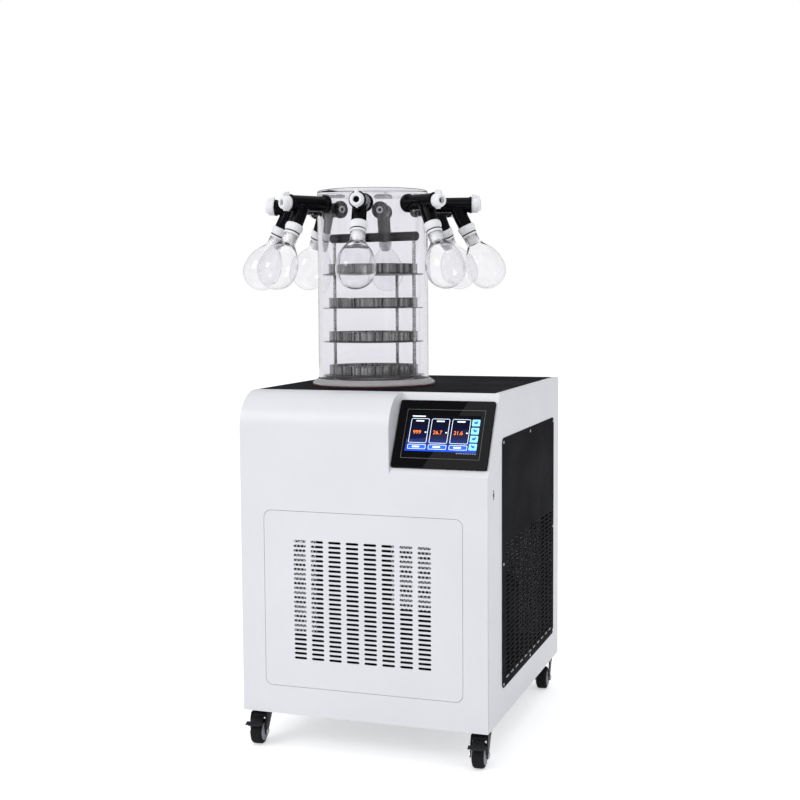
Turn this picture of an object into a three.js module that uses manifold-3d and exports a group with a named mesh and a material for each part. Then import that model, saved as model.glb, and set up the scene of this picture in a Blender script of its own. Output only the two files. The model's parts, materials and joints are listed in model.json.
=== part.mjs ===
// Floor-standing manifold freeze dryer: a cabinet on casters, a clear drying chamber on top
// with eight flask valves, and a rack with four trays inside it. Millimetres, +Z up, front at -Y.
import * as THREE from 'three';
import { mergeVertices } from 'three/addons/utils/BufferGeometryUtils.js';
import Module from 'manifold-3d';

const wasm = await Module();
wasm.setup();

// ---------------------------------------------------------------- driving dimensions
const clearance = 0.3; // running and seating gap between neighbouring pieces

// cabinet
const cabinetWidth = 500;
const cabinetDepth = 600;
const bodyHeight = 628;
const floorClearance = 70; // floor to the underside of the cabinet
const sheet = 2; // wall of the cabinet shell
const sink = 1; // how far one body runs into another that it is joined to
const frontEdgeRadius = 4; // upright front corners
const rearEdgeRadius = 12; // top rear edge
const shoulderRadius = 70; // roll-over of the raised front, left of the display
const shoulderWidth = 307; // raised part of the front
const facetSetback = 84.5; // how far the sloping display face leans back
const facetDrop = 149; // height of the sloping display face
const ledgeWidth = 10; // lip behind each inset panel

// front service panel with its louvre slots
const servicePanelWidth = 400;
const servicePanelHeight = 344;
const servicePanelRadius = 14;
const servicePanelRise = 56; // cabinet underside to the panel's lower edge
const servicePanelGap = 0.7;
const slotColumns = 8;
const slotRows = 26;
const slotLength = 26;
const slotHeight = 4.3;
const slotPitchX = 36;
const slotPitchZ = 9.15;

// side vent covers
const coverLength = 450;
const coverHeight = 484;
const coverRadius = 12;
const coverThickness = 2;
const coverSetback = 97; // cabinet front to the cover's front edge
const coverRise = 58; // cabinet underside to the cover's lower edge
const coverLap = 16; // how far a cover laps over its window
const ventColumns = 2;
const ventRows = 20;
const ventLength = 200;
const ventHeight = 5;
const ventPitch = 13;
const ventColumnPitch = 212;
const ventRise = 20; // cover's lower edge to the lowest slot

// touch panel on the sloping face
const bezelWidth = 187;
const bezelHeight = 139;
const bezelThickness = 5;
const bezelRadius = 4;
const bezelRise = 13.5; // sloping face's lower edge to the bezel, along the slope
const bezelSideGap = 1.8; // raised front to the bezel
const screenWidth = 152;
const screenHeight = 100;
const screenRecess = 0.8;
const displayBodyDepth = 34;
const displayBodyMargin = 3; // housing past the window on each side

// top plate and its seat
const topPlateThickness = 3;
const topRimRight = 10.5;
const topRimLeft = 2;
const topRimRear = 21;
const topRimFront = 1;
const ledgeThickness = 2;

// drying chamber
const chamberX = -71.5; // chamber axis from the cabinet's centre
const chamberY = -25;
const chamberRadius = 114;
const chamberWall = 5;
const chamberHeight = 395.5; // seal to the top of the lid
const lidThickness = 9;
const lidRounding = 5;
const flangeRadius = 127;
const flangeFoot = 3;
const flangeHeight = 10;
const flangeFillet = 2; // foot of the tube on the flange
const sealThickness = 3;
const sealInset = 2; // cold trap's rim to the seal's inner edge
const sealLap = 0.5;
const portHeight = 364.5; // seal to the valve axis
const spigotRadius = 7;
const spigotBore = 4;
const spigotLength = 30;
const portCount = 8;
const portTurn = 12; // first valve from the cabinet's front, degrees

// manifold valve: rubber body with a slanting branch
const collarRadius = 18.5;
const collarLength = 8;
const collarTaper = 2;
const valveRadius = 15.5;
const valveReach = 205; // chamber axis to the rubber body's outer end
const lipRadius = 17;
const lipLength = 5;
const branchReach = 171; // chamber axis to where the branch leaves
const branchTilt = 26; // from the vertical, degrees
const branchRadius = 14.6;
const branchLength = 47;
const adapterRadius = 17.8; // translucent adapter below the branch
const adapterLength = 17;
const adapterTaper = 2;
const adapterNeckRadius = 14.6;
const adapterNeckLength = 6;
const plugRadius = 10.5;
const plugLength = 19;
const plugBore = 5.5;
const boreStart = 2; // valve axis to the branch's bore

// valve knob
const knobRadius = 14.1;
const knobLength = 18.5;
const knobBevel = 3;
const knobHoleRadius = 6.4;
const knobHoleDepth = 11;
const stemRadius = 9;
const stemLength = 22;
const stemGap = 2; // free room past the stem's inner end
const tabHeight = 8.5;
const tabWidth = 7;
const tabInset = 2; // knob's face to the tab's outer end
const tabEndHeight = 4.7; // height of the tab's outer end
const pointerHeight = 3;
const pointerLength = 13.5;

// sample flask
const flaskWall = 1.6;
const bulbRings = 5; // flats down the bulb's side
const flaskNeckLength = 15;
const flaskNeckWall = 3.8;
const bulbRadius = 39.3;
const bulbShoulder = 57.6; // half height of the upper half, which is drawn out towards the neck
const bulbOpening = 60; // bulb's widest ring to its upper end, degrees
const bulbDrop = 147; // branch root to the bulb's centre, along the branch

// rack and trays
const shelfCount = 4;
const shelfRadius = 104;
const shelfThickness = 1.5;
const shelfPitch = 69;
const lowestShelf = 12.2; // foot ring to the lowest shelf
const rodRadius = 3.5;
const rodCircle = 97;
const rodStub = 1; // end of the short rod above the top shelf
const rackTurn = -12; // handle against the cabinet's width, degrees
const handleRadius = 9.3;
const handleLength = 211;
const handleEndRadius = 5.6;
const handleTaper = 5.6; // length of the tapering end
const handleRise = 296; // foot ring to the handle's axis
const rodSocket = 7; // how deep the rods enter the handle
const trayRadius = 92;
const trayHeight = 20;
const trayWall = 1.2;

// flow guide and cold trap
const guideHeight = 8;
const guideMouth = 62;
const guideDepth = 90;
const guideWall = 1.5;
const trapRadius = 102;
const trapWall = 2;
const trapDepth = 250;
const trapFlange = 16;
const jacketThickness = 28; // foam round the cold trap

// casters
const wheelRadius = 24.5;
const wheelWidth = 26;
const treadWidth = 22;
const trail = 20;
const casterInsetX = 24; // cabinet side to the swivel axis
const casterInsetY = 36;
const casterTurn = 5; // how far the casters are swung at rest, degrees
const casterPlateSize = 42;
const casterPlateThickness = 3;
const forkPlate = 2.5;
const forkGap = 1.2;
const axleRadius = 3.5;
const kingpinRadius = 5;
const raceRadius = 19;
const raceHeight = 5;
const pedalWidth = 23;
const pedalLength = 37;
const pedalThickness = 2.6;
const pedalTreadLength = 11; // raised pad at the pedal's tip
const pedalTreadWidth = 34;
const pedalTreadRise = 1.6;
const pedalSlope = 17; // degrees below the horizontal
const pedalPivotAhead = 18; // swivel axis to the pedal's pin
const pedalPivotDrop = 4; // fork crown to the pedal's pin
const pedalPinRadius = 1.8;
const pedalBarrelRadius = 3.5;
const kingpinHeadRadius = 8.5;
const kingpinHeadHeight = 2;
const crownPastAxle = 1; // axle to the crown's front edge
const crownBehind = 14.25; // swivel axis to the crown's rear edge
const cheekShoulder = 10; // crown's underside to the cheek's front corner
const axleBoss = 3.5; // cheek round the axle
const axleEnd = 3; // axle past the cheek
const nutMargin = 2.4; // axle's side to the nut's corner
const nutThickness = 2.5;
const wheelFacets = 16;
const rimRadius = 17.6;
const treadRounding = 2; // drop of the tread at its edges
const treadCrown = 3; // width of that drop

// refrigeration and services inside the cabinet
const floorPanel = 3; // base tray sheet
const trayUpstand = 30;
const compressorRadius = 82;
const compressorHeight = 215;
const compressorInset = 130; // cabinet's right side to its axis
const compressorSetback = 170; // cabinet's rear to its axis
const compressorSeam = 103; // height of the welded seam
const compressorBaseRadius = 66;
const compressorBaseRounding = 20;
const compressorCrown = 37; // height of the domed top
const compressorTopRadius = 59;
const compressorTopDrop = 8;
const compressorFootRadius = 9;
const compressorFootHeight = 12;
const compressorFootReach = 60;
const soleThickness = 3;
const seamHeight = 6;
const seamRise = 3;
const condenserWidth = 300;
const condenserHeight = 325;
const condenserDepth = 44;
const condenserStandoff = 12; // behind the service panel's ledge
const finCount = 9;
const finOpening = 0.55; // open share of the fins' pitch
const finEdge = 4; // material in front of and behind the fins' slits
const condenserHeader = 12;
const fanGap = 6; // blade tips to the shroud
const shroudDepth = 26;
const fanRadius = 118;
const fanHubRadius = 30;
const fanHubLength = 22;
const fanBlades = 5;
const bladeChord = 46;
const bladeThickness = 2;
const bladeCorner = 12;
const bladePitch = 26; // degrees to the fan's plane
const shaftRadius = 4;
const motorRadius = 32;
const motorLength = 46;
const motorStandoff = 15; // shroud to the motor
const bracketWidth = 14;
const bracketSheet = 5;
const rearPanelMargin = 24;
const rearLap = 14;
const rearVentColumns = 1;
const rearVentRows = 12;
const rearVentLength = 180;
const rearVentHeight = 5;
const rearVentPitchX = 130;
const rearVentPitchZ = 15;
const portPipeRadius = 12;
const portPipeWall = 1.5;
const portPipeReach = 34; // rear panel to the port's face
const portPipeInside = 40;
const portRimRadius = 20;
const portRimThickness = 3;
const portCollarRadius = 22;
const portCollarThickness = 4;
const rearPortX = 150;
const rearPortZ = 560; // above the floor
const inletWidth = 30; // mains inlet and switch module, behind the rear panel
const inletHeight = 56;
const inletDepth = 28;
const inletFlange = 5;
const inletFlangeThickness = 2.5;
const inletCorner = 3;
const inletX = -150;
const inletZ = 160; // above the floor
const socketWidth = 24.5;
const socketHeight = 17;
const socketDepth = 18;
const socketDrop = 13; // module's centre down to the socket's
const pinWidth = 2;
const pinHeight = 5;
const pinLength = 13;
const pinPitch = 7;
const pinStagger = 2; // middle pin up and outer pins down from the socket's centre
const rockerWidth = 20;
const rockerHeight = 13;
const rockerDepth = 9;
const rockerDip = 1.2; // valley across the rocker's face
const rockerHeel = 5.8; // height of its inner end
const rockerRoom = 2; // free depth behind it
const rockerSwing = 1.8; // extra height of its well
const rockerRise = 16; // module's centre up to the rocker's pivot
const rockerPivotDepth = 3.5;
const rockerPinRadius = 1.5;
const rockerPinLength = 2;
const rockerTilt = 8; // off position against level, degrees

// data port on the right side
const usbSetback = 35; // cabinet front to the port's centre
const usbZ = 513; // above the floor
const usbWidth = 5;
const usbHeight = 14;
const usbRim = 6;
const usbDepth = 16;
const usbWall = 0.8;
const usbTongue = 1.2;
const usbFloor = 11.2; // cabinet's side to the bottom of the mouth
const usbTongueLength = 8.6;

// ---------------------------------------------------------------- levels worked out from them
const cabinetBottom = floorClearance;
const cabinetTop = floorClearance + bodyHeight;
const frontY = -cabinetDepth / 2;
const rearY = cabinetDepth / 2;
const rearFace = rearY + clearance + sheet; // outer face of the rear panel
const leftX = -cabinetWidth / 2;
const rightX = cabinetWidth / 2;
const stepX = leftX + shoulderWidth;
const facetAngle = Math.atan2(facetSetback, facetDrop); // from the vertical
const facetBottom = cabinetTop - facetDrop;
const sealTop = cabinetTop + sealThickness;
const portZ = sealTop + portHeight;
const degrees = THREE.MathUtils.degToRad;
const tilt = degrees(branchTilt);
const wheelAxleZ = wheelRadius;
const casterPlateBottom = cabinetBottom - casterPlateThickness;
const collarStart = chamberRadius + clearance;
const adapterEnd = branchLength + adapterLength + adapterNeckLength;
const flaskMouth = adapterEnd + clearance;
const baseTop = cabinetBottom + floorPanel;
const through = 5; // how far a cutter runs past the face it cuts

// how many flats stand for a full circle
const largeRound = 28;
const mediumRound = 18;
const smallRound = 10;
const tinyRound = 8;
const hexagon = 6;
const cornerSteps = 1; // pairs of flats round a rounded corner
const shoulderSteps = 5;
const edgeSteps = 2; // flats in a folded or cut corner's quarter
const bossSteps = 3;
const roundingMiddle = 1 - Math.SQRT1_2; // middle of a rounded edge, as a share of its radius

// ---------------------------------------------------------------- materials
const finish = (color, roughness, metalness = 0, opacity = 1) =>
  new THREE.MeshStandardMaterial({ color, roughness, metalness, opacity, transparent: opacity < 1 });

const whitePaint = finish(0xe6e6ea, 0.4);
const blackPaint = finish(0x26262a, 0.55);
const blackGlass = finish(0x0b0b0d, 0.12);
const acrylic = finish(0xeef1f5, 0.06, 0, 0.3);
const glass = finish(0xf4f6f8, 0.04, 0, 0.3);
const darkRedRubber = finish(0x6a1f1c, 0.6);
const blackRubber = finish(0x121214, 0.35);
const whitePlastic = finish(0xf2f2f4, 0.4);
const darkPlastic = finish(0x2b2d31, 0.45);
const stainless = finish(0xb4b4b2, 0.32, 1);
const zinc = finish(0xa8abb0, 0.4, 1);
const tyre = finish(0x1c1c1e, 0.7);
const blackEnamel = finish(0x1d1d20, 0.5);

// ---------------------------------------------------------------- solids
function toSolid(geometry) {
  const bare = geometry.clone();
  bare.deleteAttribute('normal');
  bare.deleteAttribute('uv');
  const merged = mergeVertices(bare);
  const index = merged.index.array;
  const faces = [];
  for (let i = 0; i < index.length; i += 3) {
    const [a, b, c] = [index[i], index[i + 1], index[i + 2]];
    if (a !== b && b !== c && c !== a) faces.push(a, b, c); // drops the slivers at a lathe's poles
  }
  return new wasm.Manifold(new wasm.Mesh({
    numProp: 3,
    vertProperties: new Float32Array(merged.attributes.position.array),
    triVerts: new Uint32Array(faces),
  }));
}

function toGeometry(solid) {
  const mesh = solid.getMesh();
  const geometry = new THREE.BufferGeometry();
  geometry.setAttribute('position', new THREE.BufferAttribute(mesh.vertProperties, 3));
  geometry.setIndex(new THREE.BufferAttribute(mesh.triVerts, 1));
  return geometry;
}

const join = (...geometries) =>
  toGeometry(geometries.map(toSolid).reduce((sum, solid) => sum.add(solid)));

const cut = (body, ...tools) =>
  toGeometry(tools.map(toSolid).reduce((rest, tool) => rest.subtract(tool), toSolid(body)));

const overlap = (a, b) => toGeometry(toSolid(a).intersect(toSolid(b)));

// ---------------------------------------------------------------- shapes and sweeps
function rectangle(width, height, radius = 0, x = 0, y = 0) {
  const shape = new THREE.Shape();
  const [left, right, low, high] = [x - width / 2, x + width / 2, y - height / 2, y + height / 2];
  if (radius === 0) {
    shape.moveTo(left, low).lineTo(right, low).lineTo(right, high).lineTo(left, high);
  } else {
    shape.moveTo(left + radius, low).lineTo(right - radius, low);
    shape.absarc(right - radius, low + radius, radius, -Math.PI / 2, 0);
    shape.lineTo(right, high - radius).absarc(right - radius, high - radius, radius, 0, Math.PI / 2);
    shape.lineTo(left + radius, high);
    shape.absarc(left + radius, high - radius, radius, Math.PI / 2, Math.PI);
    shape.lineTo(left, low + radius);
    shape.absarc(left + radius, low + radius, radius, Math.PI, Math.PI * 1.5);
  }
  return shape;
}

// a rectangle between two corners, as a hole's or a plate's outline
const opening = (left, right, low, high, radius = 0) =>
  rectangle(right - left, high - low, radius, (left + right) / 2, (low + high) / 2);

const circle = (radius, x, y) => new THREE.Path().absarc(x, y, radius, 0, Math.PI * 2);

// shape may be a list of shapes, which gives separate bodies
const sweep = (shape, depth, curveSegments) =>
  new THREE.ExtrudeGeometry(shape, { depth, bevelEnabled: false, curveSegments });

// outline in (x, y), thickness upwards from z
const plateUp = (shape, z, depth, curveSegments = cornerSteps) =>
  sweep(shape, depth, curveSegments).translate(0, 0, z);

// outline in (x, z), thickness forwards from y
const plateForward = (shape, y, depth, curveSegments = cornerSteps) =>
  sweep(shape, depth, curveSegments).rotateX(Math.PI / 2).translate(0, y, 0);

// outline in (y, z), thickness rightwards from x
const sideways = new THREE.Matrix4().makeBasis(
  new THREE.Vector3(0, 1, 0),
  new THREE.Vector3(0, 0, 1),
  new THREE.Vector3(1, 0, 0),
);
const plateRight = (shape, x, depth, curveSegments = cornerSteps) =>
  sweep(shape, depth, curveSegments).applyMatrix4(sideways).translate(x, 0, 0);

// a turned piece about Z from [radius, height] pairs, anticlockwise seen in that plane
function turned(profile, segments) {
  const points = profile.map(([radius, height]) => new THREE.Vector2(radius, height));
  return new THREE.LatheGeometry(points, segments).rotateX(Math.PI / 2);
}

const alongX = (geometry) => geometry.rotateY(Math.PI / 2);

const rod = (radius, from, to, segments) =>
  new THREE.CylinderGeometry(radius, radius, to - from, segments)
    .rotateX(Math.PI / 2)
    .translate(0, 0, (from + to) / 2);

// a rod along Y
const alongY = (radius, from, to, segments) => rod(radius, from, to, segments).rotateX(-Math.PI / 2);

// radius of a many-sided hole whose flats clear a round piece that turns in it
const turningHole = (radius, segments) => (radius + clearance) / Math.cos(Math.PI / segments);

const box = (width, depth, height, x, y, z) =>
  new THREE.BoxGeometry(width, depth, height).translate(x, y, z);

const part = new THREE.Group();

function place(name, geometry, material, parent = part) {
  const mesh = new THREE.Mesh(geometry, material);
  mesh.name = name;
  parent.add(mesh);
  return mesh;
}

function frameAt(x, y, z, turn = 0, parent = part) {
  const frame = new THREE.Group();
  frame.position.set(x, y, z);
  frame.rotation.z = degrees(turn);
  parent.add(frame);
  return frame;
}

// ---------------------------------------------------------------- cabinet
// side view of the cabinet, pulled in by inset all round and running on below its underside by drop
function shoulderOutline(inset, drop) {
  const shape = new THREE.Shape();
  const [front, rear, top] = [frontY + inset, rearY - inset, cabinetTop - inset];
  const rearRadius = Math.max(rearEdgeRadius - inset, 1);
  shape.moveTo(rear, cabinetBottom - drop).lineTo(rear, top - rearRadius);
  shape.absarc(rear - rearRadius, top - rearRadius, rearRadius, 0, Math.PI / 2);
  shape.lineTo(frontY + shoulderRadius, top);
  const centreZ = cabinetTop - shoulderRadius;
  shape.absarc(frontY + shoulderRadius, centreZ, shoulderRadius - inset, Math.PI / 2, Math.PI);
  shape.lineTo(front, cabinetBottom - drop);
  return shape;
}

function facetOutline(inset, drop) {
  const shape = new THREE.Shape();
  const [front, rear, top] = [frontY + inset, rearY - inset, cabinetTop - inset];
  const rearRadius = Math.max(rearEdgeRadius - inset, 1);
  const shift = inset / Math.cos(facetAngle);
  const slope = Math.tan(facetAngle);
  shape.moveTo(rear, cabinetBottom - drop).lineTo(rear, top - rearRadius);
  shape.absarc(rear - rearRadius, top - rearRadius, rearRadius, 0, Math.PI / 2);
  shape.lineTo(frontY + (top - facetBottom) * slope + shift, top);
  shape.lineTo(front, facetBottom + (inset - shift) / slope);
  shape.lineTo(front, cabinetBottom - drop);
  return shape;
}

function cabinetVolume(inset, drop) {
  const raisedWidth = shoulderWidth - 2 * inset;
  const raised = plateRight(shoulderOutline(inset, drop), leftX + inset, raisedWidth, shoulderSteps);
  const full = plateRight(facetOutline(inset, drop), leftX + inset, cabinetWidth - 2 * inset, edgeSteps);
  return join(full, raised);
}

const topPlateEdges = {
  left: leftX + topRimLeft,
  right: rightX - topRimRight,
  front: frontY + facetSetback + topRimFront,
  rear: rearY - topRimRear,
};

const coverEdges = {
  front: frontY + coverSetback,
  rear: frontY + coverSetback + coverLength,
  low: cabinetBottom + coverRise,
  high: cabinetBottom + coverRise + coverHeight,
};

const servicePanelLow = cabinetBottom + servicePanelRise;
const servicePanelHigh = servicePanelLow + servicePanelHeight;

function topWindow(grow) {
  const { left, right, front, rear } = topPlateEdges;
  return opening(left - grow, right + grow, front - grow, rear + grow);
}

function serviceWindow(grow) {
  const half = servicePanelWidth / 2 + grow;
  return opening(-half, half, servicePanelLow - grow, servicePanelHigh + grow, servicePanelRadius + grow);
}

// a flat ring between two outlines
function ring(outline, inner) {
  outline.holes.push(inner);
  return outline;
}

function sideWindows() {
  const { front, rear, low, high } = coverEdges;
  const outline = opening(front + coverLap, rear - coverLap, low + coverLap, high - coverLap);
  return plateRight(outline, leftX - through, cabinetWidth + 2 * through);
}

function rearWindow() {
  const half = cabinetWidth / 2 - rearPanelMargin - rearLap;
  const low = cabinetBottom + rearPanelMargin + rearLap;
  const high = cabinetTop - rearPanelMargin - rearLap;
  return plateForward(opening(-half, half, low, high), rearY + through, sheet + 2 * through);
}

function usbOpening() {
  const [y, grow] = [frontY + usbSetback, clearance];
  const [half, rise] = [usbWidth / 2 + grow, usbHeight / 2 + grow];
  const slot = opening(y - half, y + half, usbZ - rise, usbZ + rise);
  return plateRight(slot, rightX - sheet - through, sheet + 2 * through);
}

// the folded and welded casing: front, sides, back and top rim, with a ledge behind each inset panel
function cabinetShell() {
  const plan = opening(leftX, rightX, frontY, rearY + cabinetDepth, frontEdgeRadius);
  const outside = overlap(cabinetVolume(0, 0), plateUp(plan, cabinetBottom, bodyHeight + through));
  const hollow = cut(outside, cabinetVolume(sheet, through));
  const pocketZ = cabinetTop - topPlateThickness;
  const topLedge = plateUp(ring(topWindow(ledgeWidth / 2), topWindow(-ledgeWidth)),
    pocketZ - ledgeThickness, topPlateThickness + ledgeThickness - sheet / 2);
  const serviceLedge = plateForward(ring(serviceWindow(ledgeWidth), serviceWindow(-ledgeWidth)),
    frontY + sheet + ledgeThickness, sheet / 2 + ledgeThickness, edgeSteps);
  const casing = join(hollow, overlap(topLedge, cabinetVolume(sheet / 2, 0)), serviceLedge);
  return cut(casing,
    plateUp(topWindow(clearance), pocketZ, topPlateThickness + through),
    plateForward(serviceWindow(servicePanelGap), frontY + sheet, sheet + through, edgeSteps),
    sideWindows(), rearWindow(), usbOpening(), displayOpening());
}

// outlines of slots in rows and columns about a centre
function slotGrid(columns, rows, pitchX, pitchY, length, height, centreX, centreY) {
  const slots = [];
  for (let column = 0; column < columns; column += 1) {
    for (let row = 0; row < rows; row += 1) {
      const x = centreX + (column - (columns - 1) / 2) * pitchX;
      const y = centreY + (row - (rows - 1) / 2) * pitchY;
      slots.push(rectangle(length, height, 0, x, y));
    }
  }
  return slots;
}

function servicePanel() {
  const back = frontY + sheet - clearance;
  const slots = slotGrid(slotColumns, slotRows, slotPitchX, slotPitchZ, slotLength, slotHeight,
    0, (servicePanelLow + servicePanelHigh) / 2);
  return cut(plateForward(serviceWindow(0), back, sheet - clearance, edgeSteps),
    plateForward(slots, back + through, sheet + 2 * through));
}

function ventCover(x) {
  const { front, rear, low, high } = coverEdges;
  const slots = slotGrid(ventColumns, ventRows, ventColumnPitch, ventPitch, ventLength, ventHeight,
    (front + rear) / 2, low + ventRise + ((ventRows - 1) / 2) * ventPitch);
  return cut(plateRight(opening(front, rear, low, high, coverRadius), x, coverThickness, edgeSteps),
    plateRight(slots, x - through, coverThickness + 2 * through));
}

function topPlate() {
  const { left, right, front, rear } = topPlateEdges;
  const plate = opening(left, right, front, rear);
  plate.holes.push(circle(trapRadius + clearance, chamberX, chamberY));
  const thickness = topPlateThickness - clearance;
  return plateUp(plate, cabinetTop - thickness, thickness, largeRound / 2);
}

function baseTray() {
  const half = cabinetWidth / 2 - sheet - clearance;
  const [front, rear] = [frontY + sheet + clearance, rearY - sheet - clearance];
  const upstand = opening(-half, half, front, rear);
  upstand.holes.push(opening(-half + sheet, half - sheet, front + sheet, rear - sheet));
  const pieces = [
    plateUp(opening(-half, half, front, rear), cabinetBottom, floorPanel),
    plateUp(upstand, cabinetBottom, trayUpstand),
  ];
  const headTop = crownBottom - clearance;
  for (const { x, y } of casterPlaces()) {
    const plateTop = cabinetBottom + floorPanel / 2;
    const plateHeight = plateTop - casterPlateBottom;
    pieces.push(box(casterPlateSize, casterPlateSize, plateHeight, x, y, plateTop - plateHeight / 2));
    pieces.push(rod(kingpinRadius, headTop - kingpinHeadHeight, plateTop, tinyRound).translate(x, y, 0));
    pieces.push(rod(kingpinHeadRadius, headTop - kingpinHeadHeight, headTop, tinyRound).translate(x, y, 0));
  }
  return join(...pieces);
}

function rearPanel() {
  const half = cabinetWidth / 2 - rearPanelMargin;
  const [low, high] = [cabinetBottom + rearPanelMargin, cabinetTop - rearPanelMargin];
  const plate = opening(-half, half, low, high, coverRadius);
  plate.holes.push(rectangle(inletWidth + 2 * clearance, inletHeight + 2 * clearance, 0, inletX, inletZ));
  const slots = slotGrid(rearVentColumns, rearVentRows, rearVentPitchX, rearVentPitchZ,
    rearVentLength, rearVentHeight, 0, (low + high) / 2);
  return cut(plateForward(plate, rearFace, sheet, edgeSteps),
    plateForward(slots, rearFace + through, sheet + 2 * through),
    alongY(turningHole(portPipeRadius, smallRound), rearY - through, rearFace + through, smallRound)
      .translate(rearPortX, 0, rearPortZ));
}

// ---------------------------------------------------------------- touch panel
// frame of the sloping face: x across, y up the slope, z outwards, origin at its lower edge
const facetFrame = new THREE.Matrix4()
  .makeRotationX(Math.PI / 2 - facetAngle)
  .setPosition(0, frontY, facetBottom);
const bezelX = stepX + bezelSideGap + bezelWidth / 2;
const bezelY = bezelRise + bezelHeight / 2;
const displayBodyWidth = screenWidth + 2 * displayBodyMargin;
const displayBodyHeight = screenHeight + 2 * displayBodyMargin;

function displayOpening() {
  return box(displayBodyWidth + 2 * clearance, displayBodyHeight + 2 * clearance, sheet + 2 * through,
    bezelX, bezelY, -sheet / 2).applyMatrix4(facetFrame);
}

function touchPanel() {
  const outline = rectangle(bezelWidth, bezelHeight, bezelRadius, bezelX, bezelY);
  const bezel = plateUp(outline, clearance, bezelThickness);
  const body = box(displayBodyWidth, displayBodyHeight, displayBodyDepth + bezelThickness / 2,
    bezelX, bezelY, clearance + (bezelThickness / 2 - displayBodyDepth) / 2);
  const recess = box(screenWidth, screenHeight, 2 * screenRecess,
    bezelX, bezelY, clearance + bezelThickness);
  return cut(join(bezel, body), recess).applyMatrix4(facetFrame);
}

// ---------------------------------------------------------------- chamber
function chamberSeal() {
  const [inner, outer] = [trapRadius + sealInset, flangeRadius + sealLap];
  return turned([
    [inner, 0],
    [outer, 0],
    [outer, sealThickness],
    [inner, sealThickness],
    [inner, 0],
  ], largeRound);
}

// directions of the ports about the chamber's axis, degrees from +X
const portAzimuth = (port) => -90 + portTurn + (port * 360) / portCount;

function dryingChamber() {
  const inner = chamberRadius - chamberWall;
  const spigotEnd = chamberRadius + spigotLength;
  const profile = [
    [inner, 0],
    [flangeRadius, 0],
    [flangeRadius, flangeFoot],
    [chamberRadius + flangeFillet, flangeHeight],
    [chamberRadius, flangeHeight + flangeFillet],
    [chamberRadius, chamberHeight - lidRounding],
    [chamberRadius - lidRounding * roundingMiddle, chamberHeight - lidRounding * roundingMiddle],
    [chamberRadius - lidRounding, chamberHeight],
    [0, chamberHeight],
    [0, chamberHeight - lidThickness],
    [inner, chamberHeight - lidThickness],
    [inner, 0],
  ];
  const pieces = [turned(profile, largeRound)];
  const bores = [];
  for (let port = 0; port < portCount; port += 1) {
    const turn = degrees(portAzimuth(port));
    const outward = (geometry) => alongX(geometry).rotateZ(turn).translate(0, 0, portHeight);
    pieces.push(outward(rod(spigotRadius, inner + chamberWall / 2, spigotEnd, tinyRound)));
    bores.push(outward(rod(spigotBore, inner - through, spigotEnd + through, tinyRound)));
  }
  return cut(join(...pieces), ...bores);
}

// ---------------------------------------------------------------- valves and flasks
// Each is drawn in its valve's frame: +X outwards from the chamber axis, z level with the port.
const downBranch = (geometry) =>
  geometry.rotateY(Math.PI - tilt).translate(branchReach, 0, 0);

function valveBody() {
  const tube = alongX(turned([
    [0, collarStart],
    [collarRadius, collarStart],
    [collarRadius, collarStart + collarLength],
    [valveRadius, collarStart + collarLength + collarTaper],
    [valveRadius, valveReach - lipLength],
    [lipRadius, valveReach - lipLength],
    [lipRadius, valveReach],
    [0, valveReach],
  ], smallRound));
  const branch = downBranch(turned([
    [0, 0],
    [branchRadius, 0],
    [branchRadius, branchLength],
    [adapterRadius, branchLength],
    [adapterRadius, branchLength + adapterLength - adapterTaper],
    [adapterNeckRadius, branchLength + adapterLength],
    [adapterNeckRadius, adapterEnd],
    [plugRadius, adapterEnd],
    [plugRadius, adapterEnd + plugLength],
    [0, adapterEnd + plugLength],
  ], smallRound));
  const stemEnd = valveReach - stemLength - stemGap;
  const socket = alongX(rod(spigotRadius + clearance, 0, stemEnd + sink, tinyRound));
  const stemHole = turningHole(stemRadius, tinyRound);
  const stemSocket = alongX(rod(stemHole, stemEnd, valveReach + through, tinyRound));
  const branchBore = downBranch(rod(plugBore, boreStart, adapterEnd + plugLength + through, tinyRound));
  return cut(join(tube, branch), socket, stemSocket, branchBore);
}

function valveKnob() {
  const start = valveReach + clearance;
  const end = start + knobLength;
  const body = alongX(turned([
    [0, valveReach - stemLength],
    [stemRadius, valveReach - stemLength],
    [stemRadius, start],
    [knobRadius, start],
    [knobRadius, end - knobBevel],
    [knobRadius - knobBevel, end],
    [knobHoleRadius, end],
    [knobHoleRadius, end - knobHoleDepth],
    [0, end - knobHoleDepth],
  ], smallRound));
  const profile = new THREE.Shape();
  const inRing = (knobRadius + knobHoleRadius) / 2;
  profile.moveTo(start, inRing).lineTo(end - knobBevel, inRing);
  profile.lineTo(end - tabInset, knobRadius + tabEndHeight).lineTo(start, knobRadius + tabHeight);
  const upright = new THREE.Matrix4().makeBasis(
    new THREE.Vector3(1, 0, 0),
    new THREE.Vector3(0, 0, 1),
    new THREE.Vector3(0, -1, 0),
  );
  const tab = sweep(profile, tabWidth, 1).translate(0, 0, -tabWidth / 2).applyMatrix4(upright);
  const point = new THREE.Shape();
  point.moveTo(-pointerHeight, -inRing).lineTo(0, -knobRadius - pointerHeight);
  point.lineTo(pointerHeight, -inRing);
  const pointer = plateRight(point, start, pointerLength);
  return join(body, tab, pointer);
}

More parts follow.
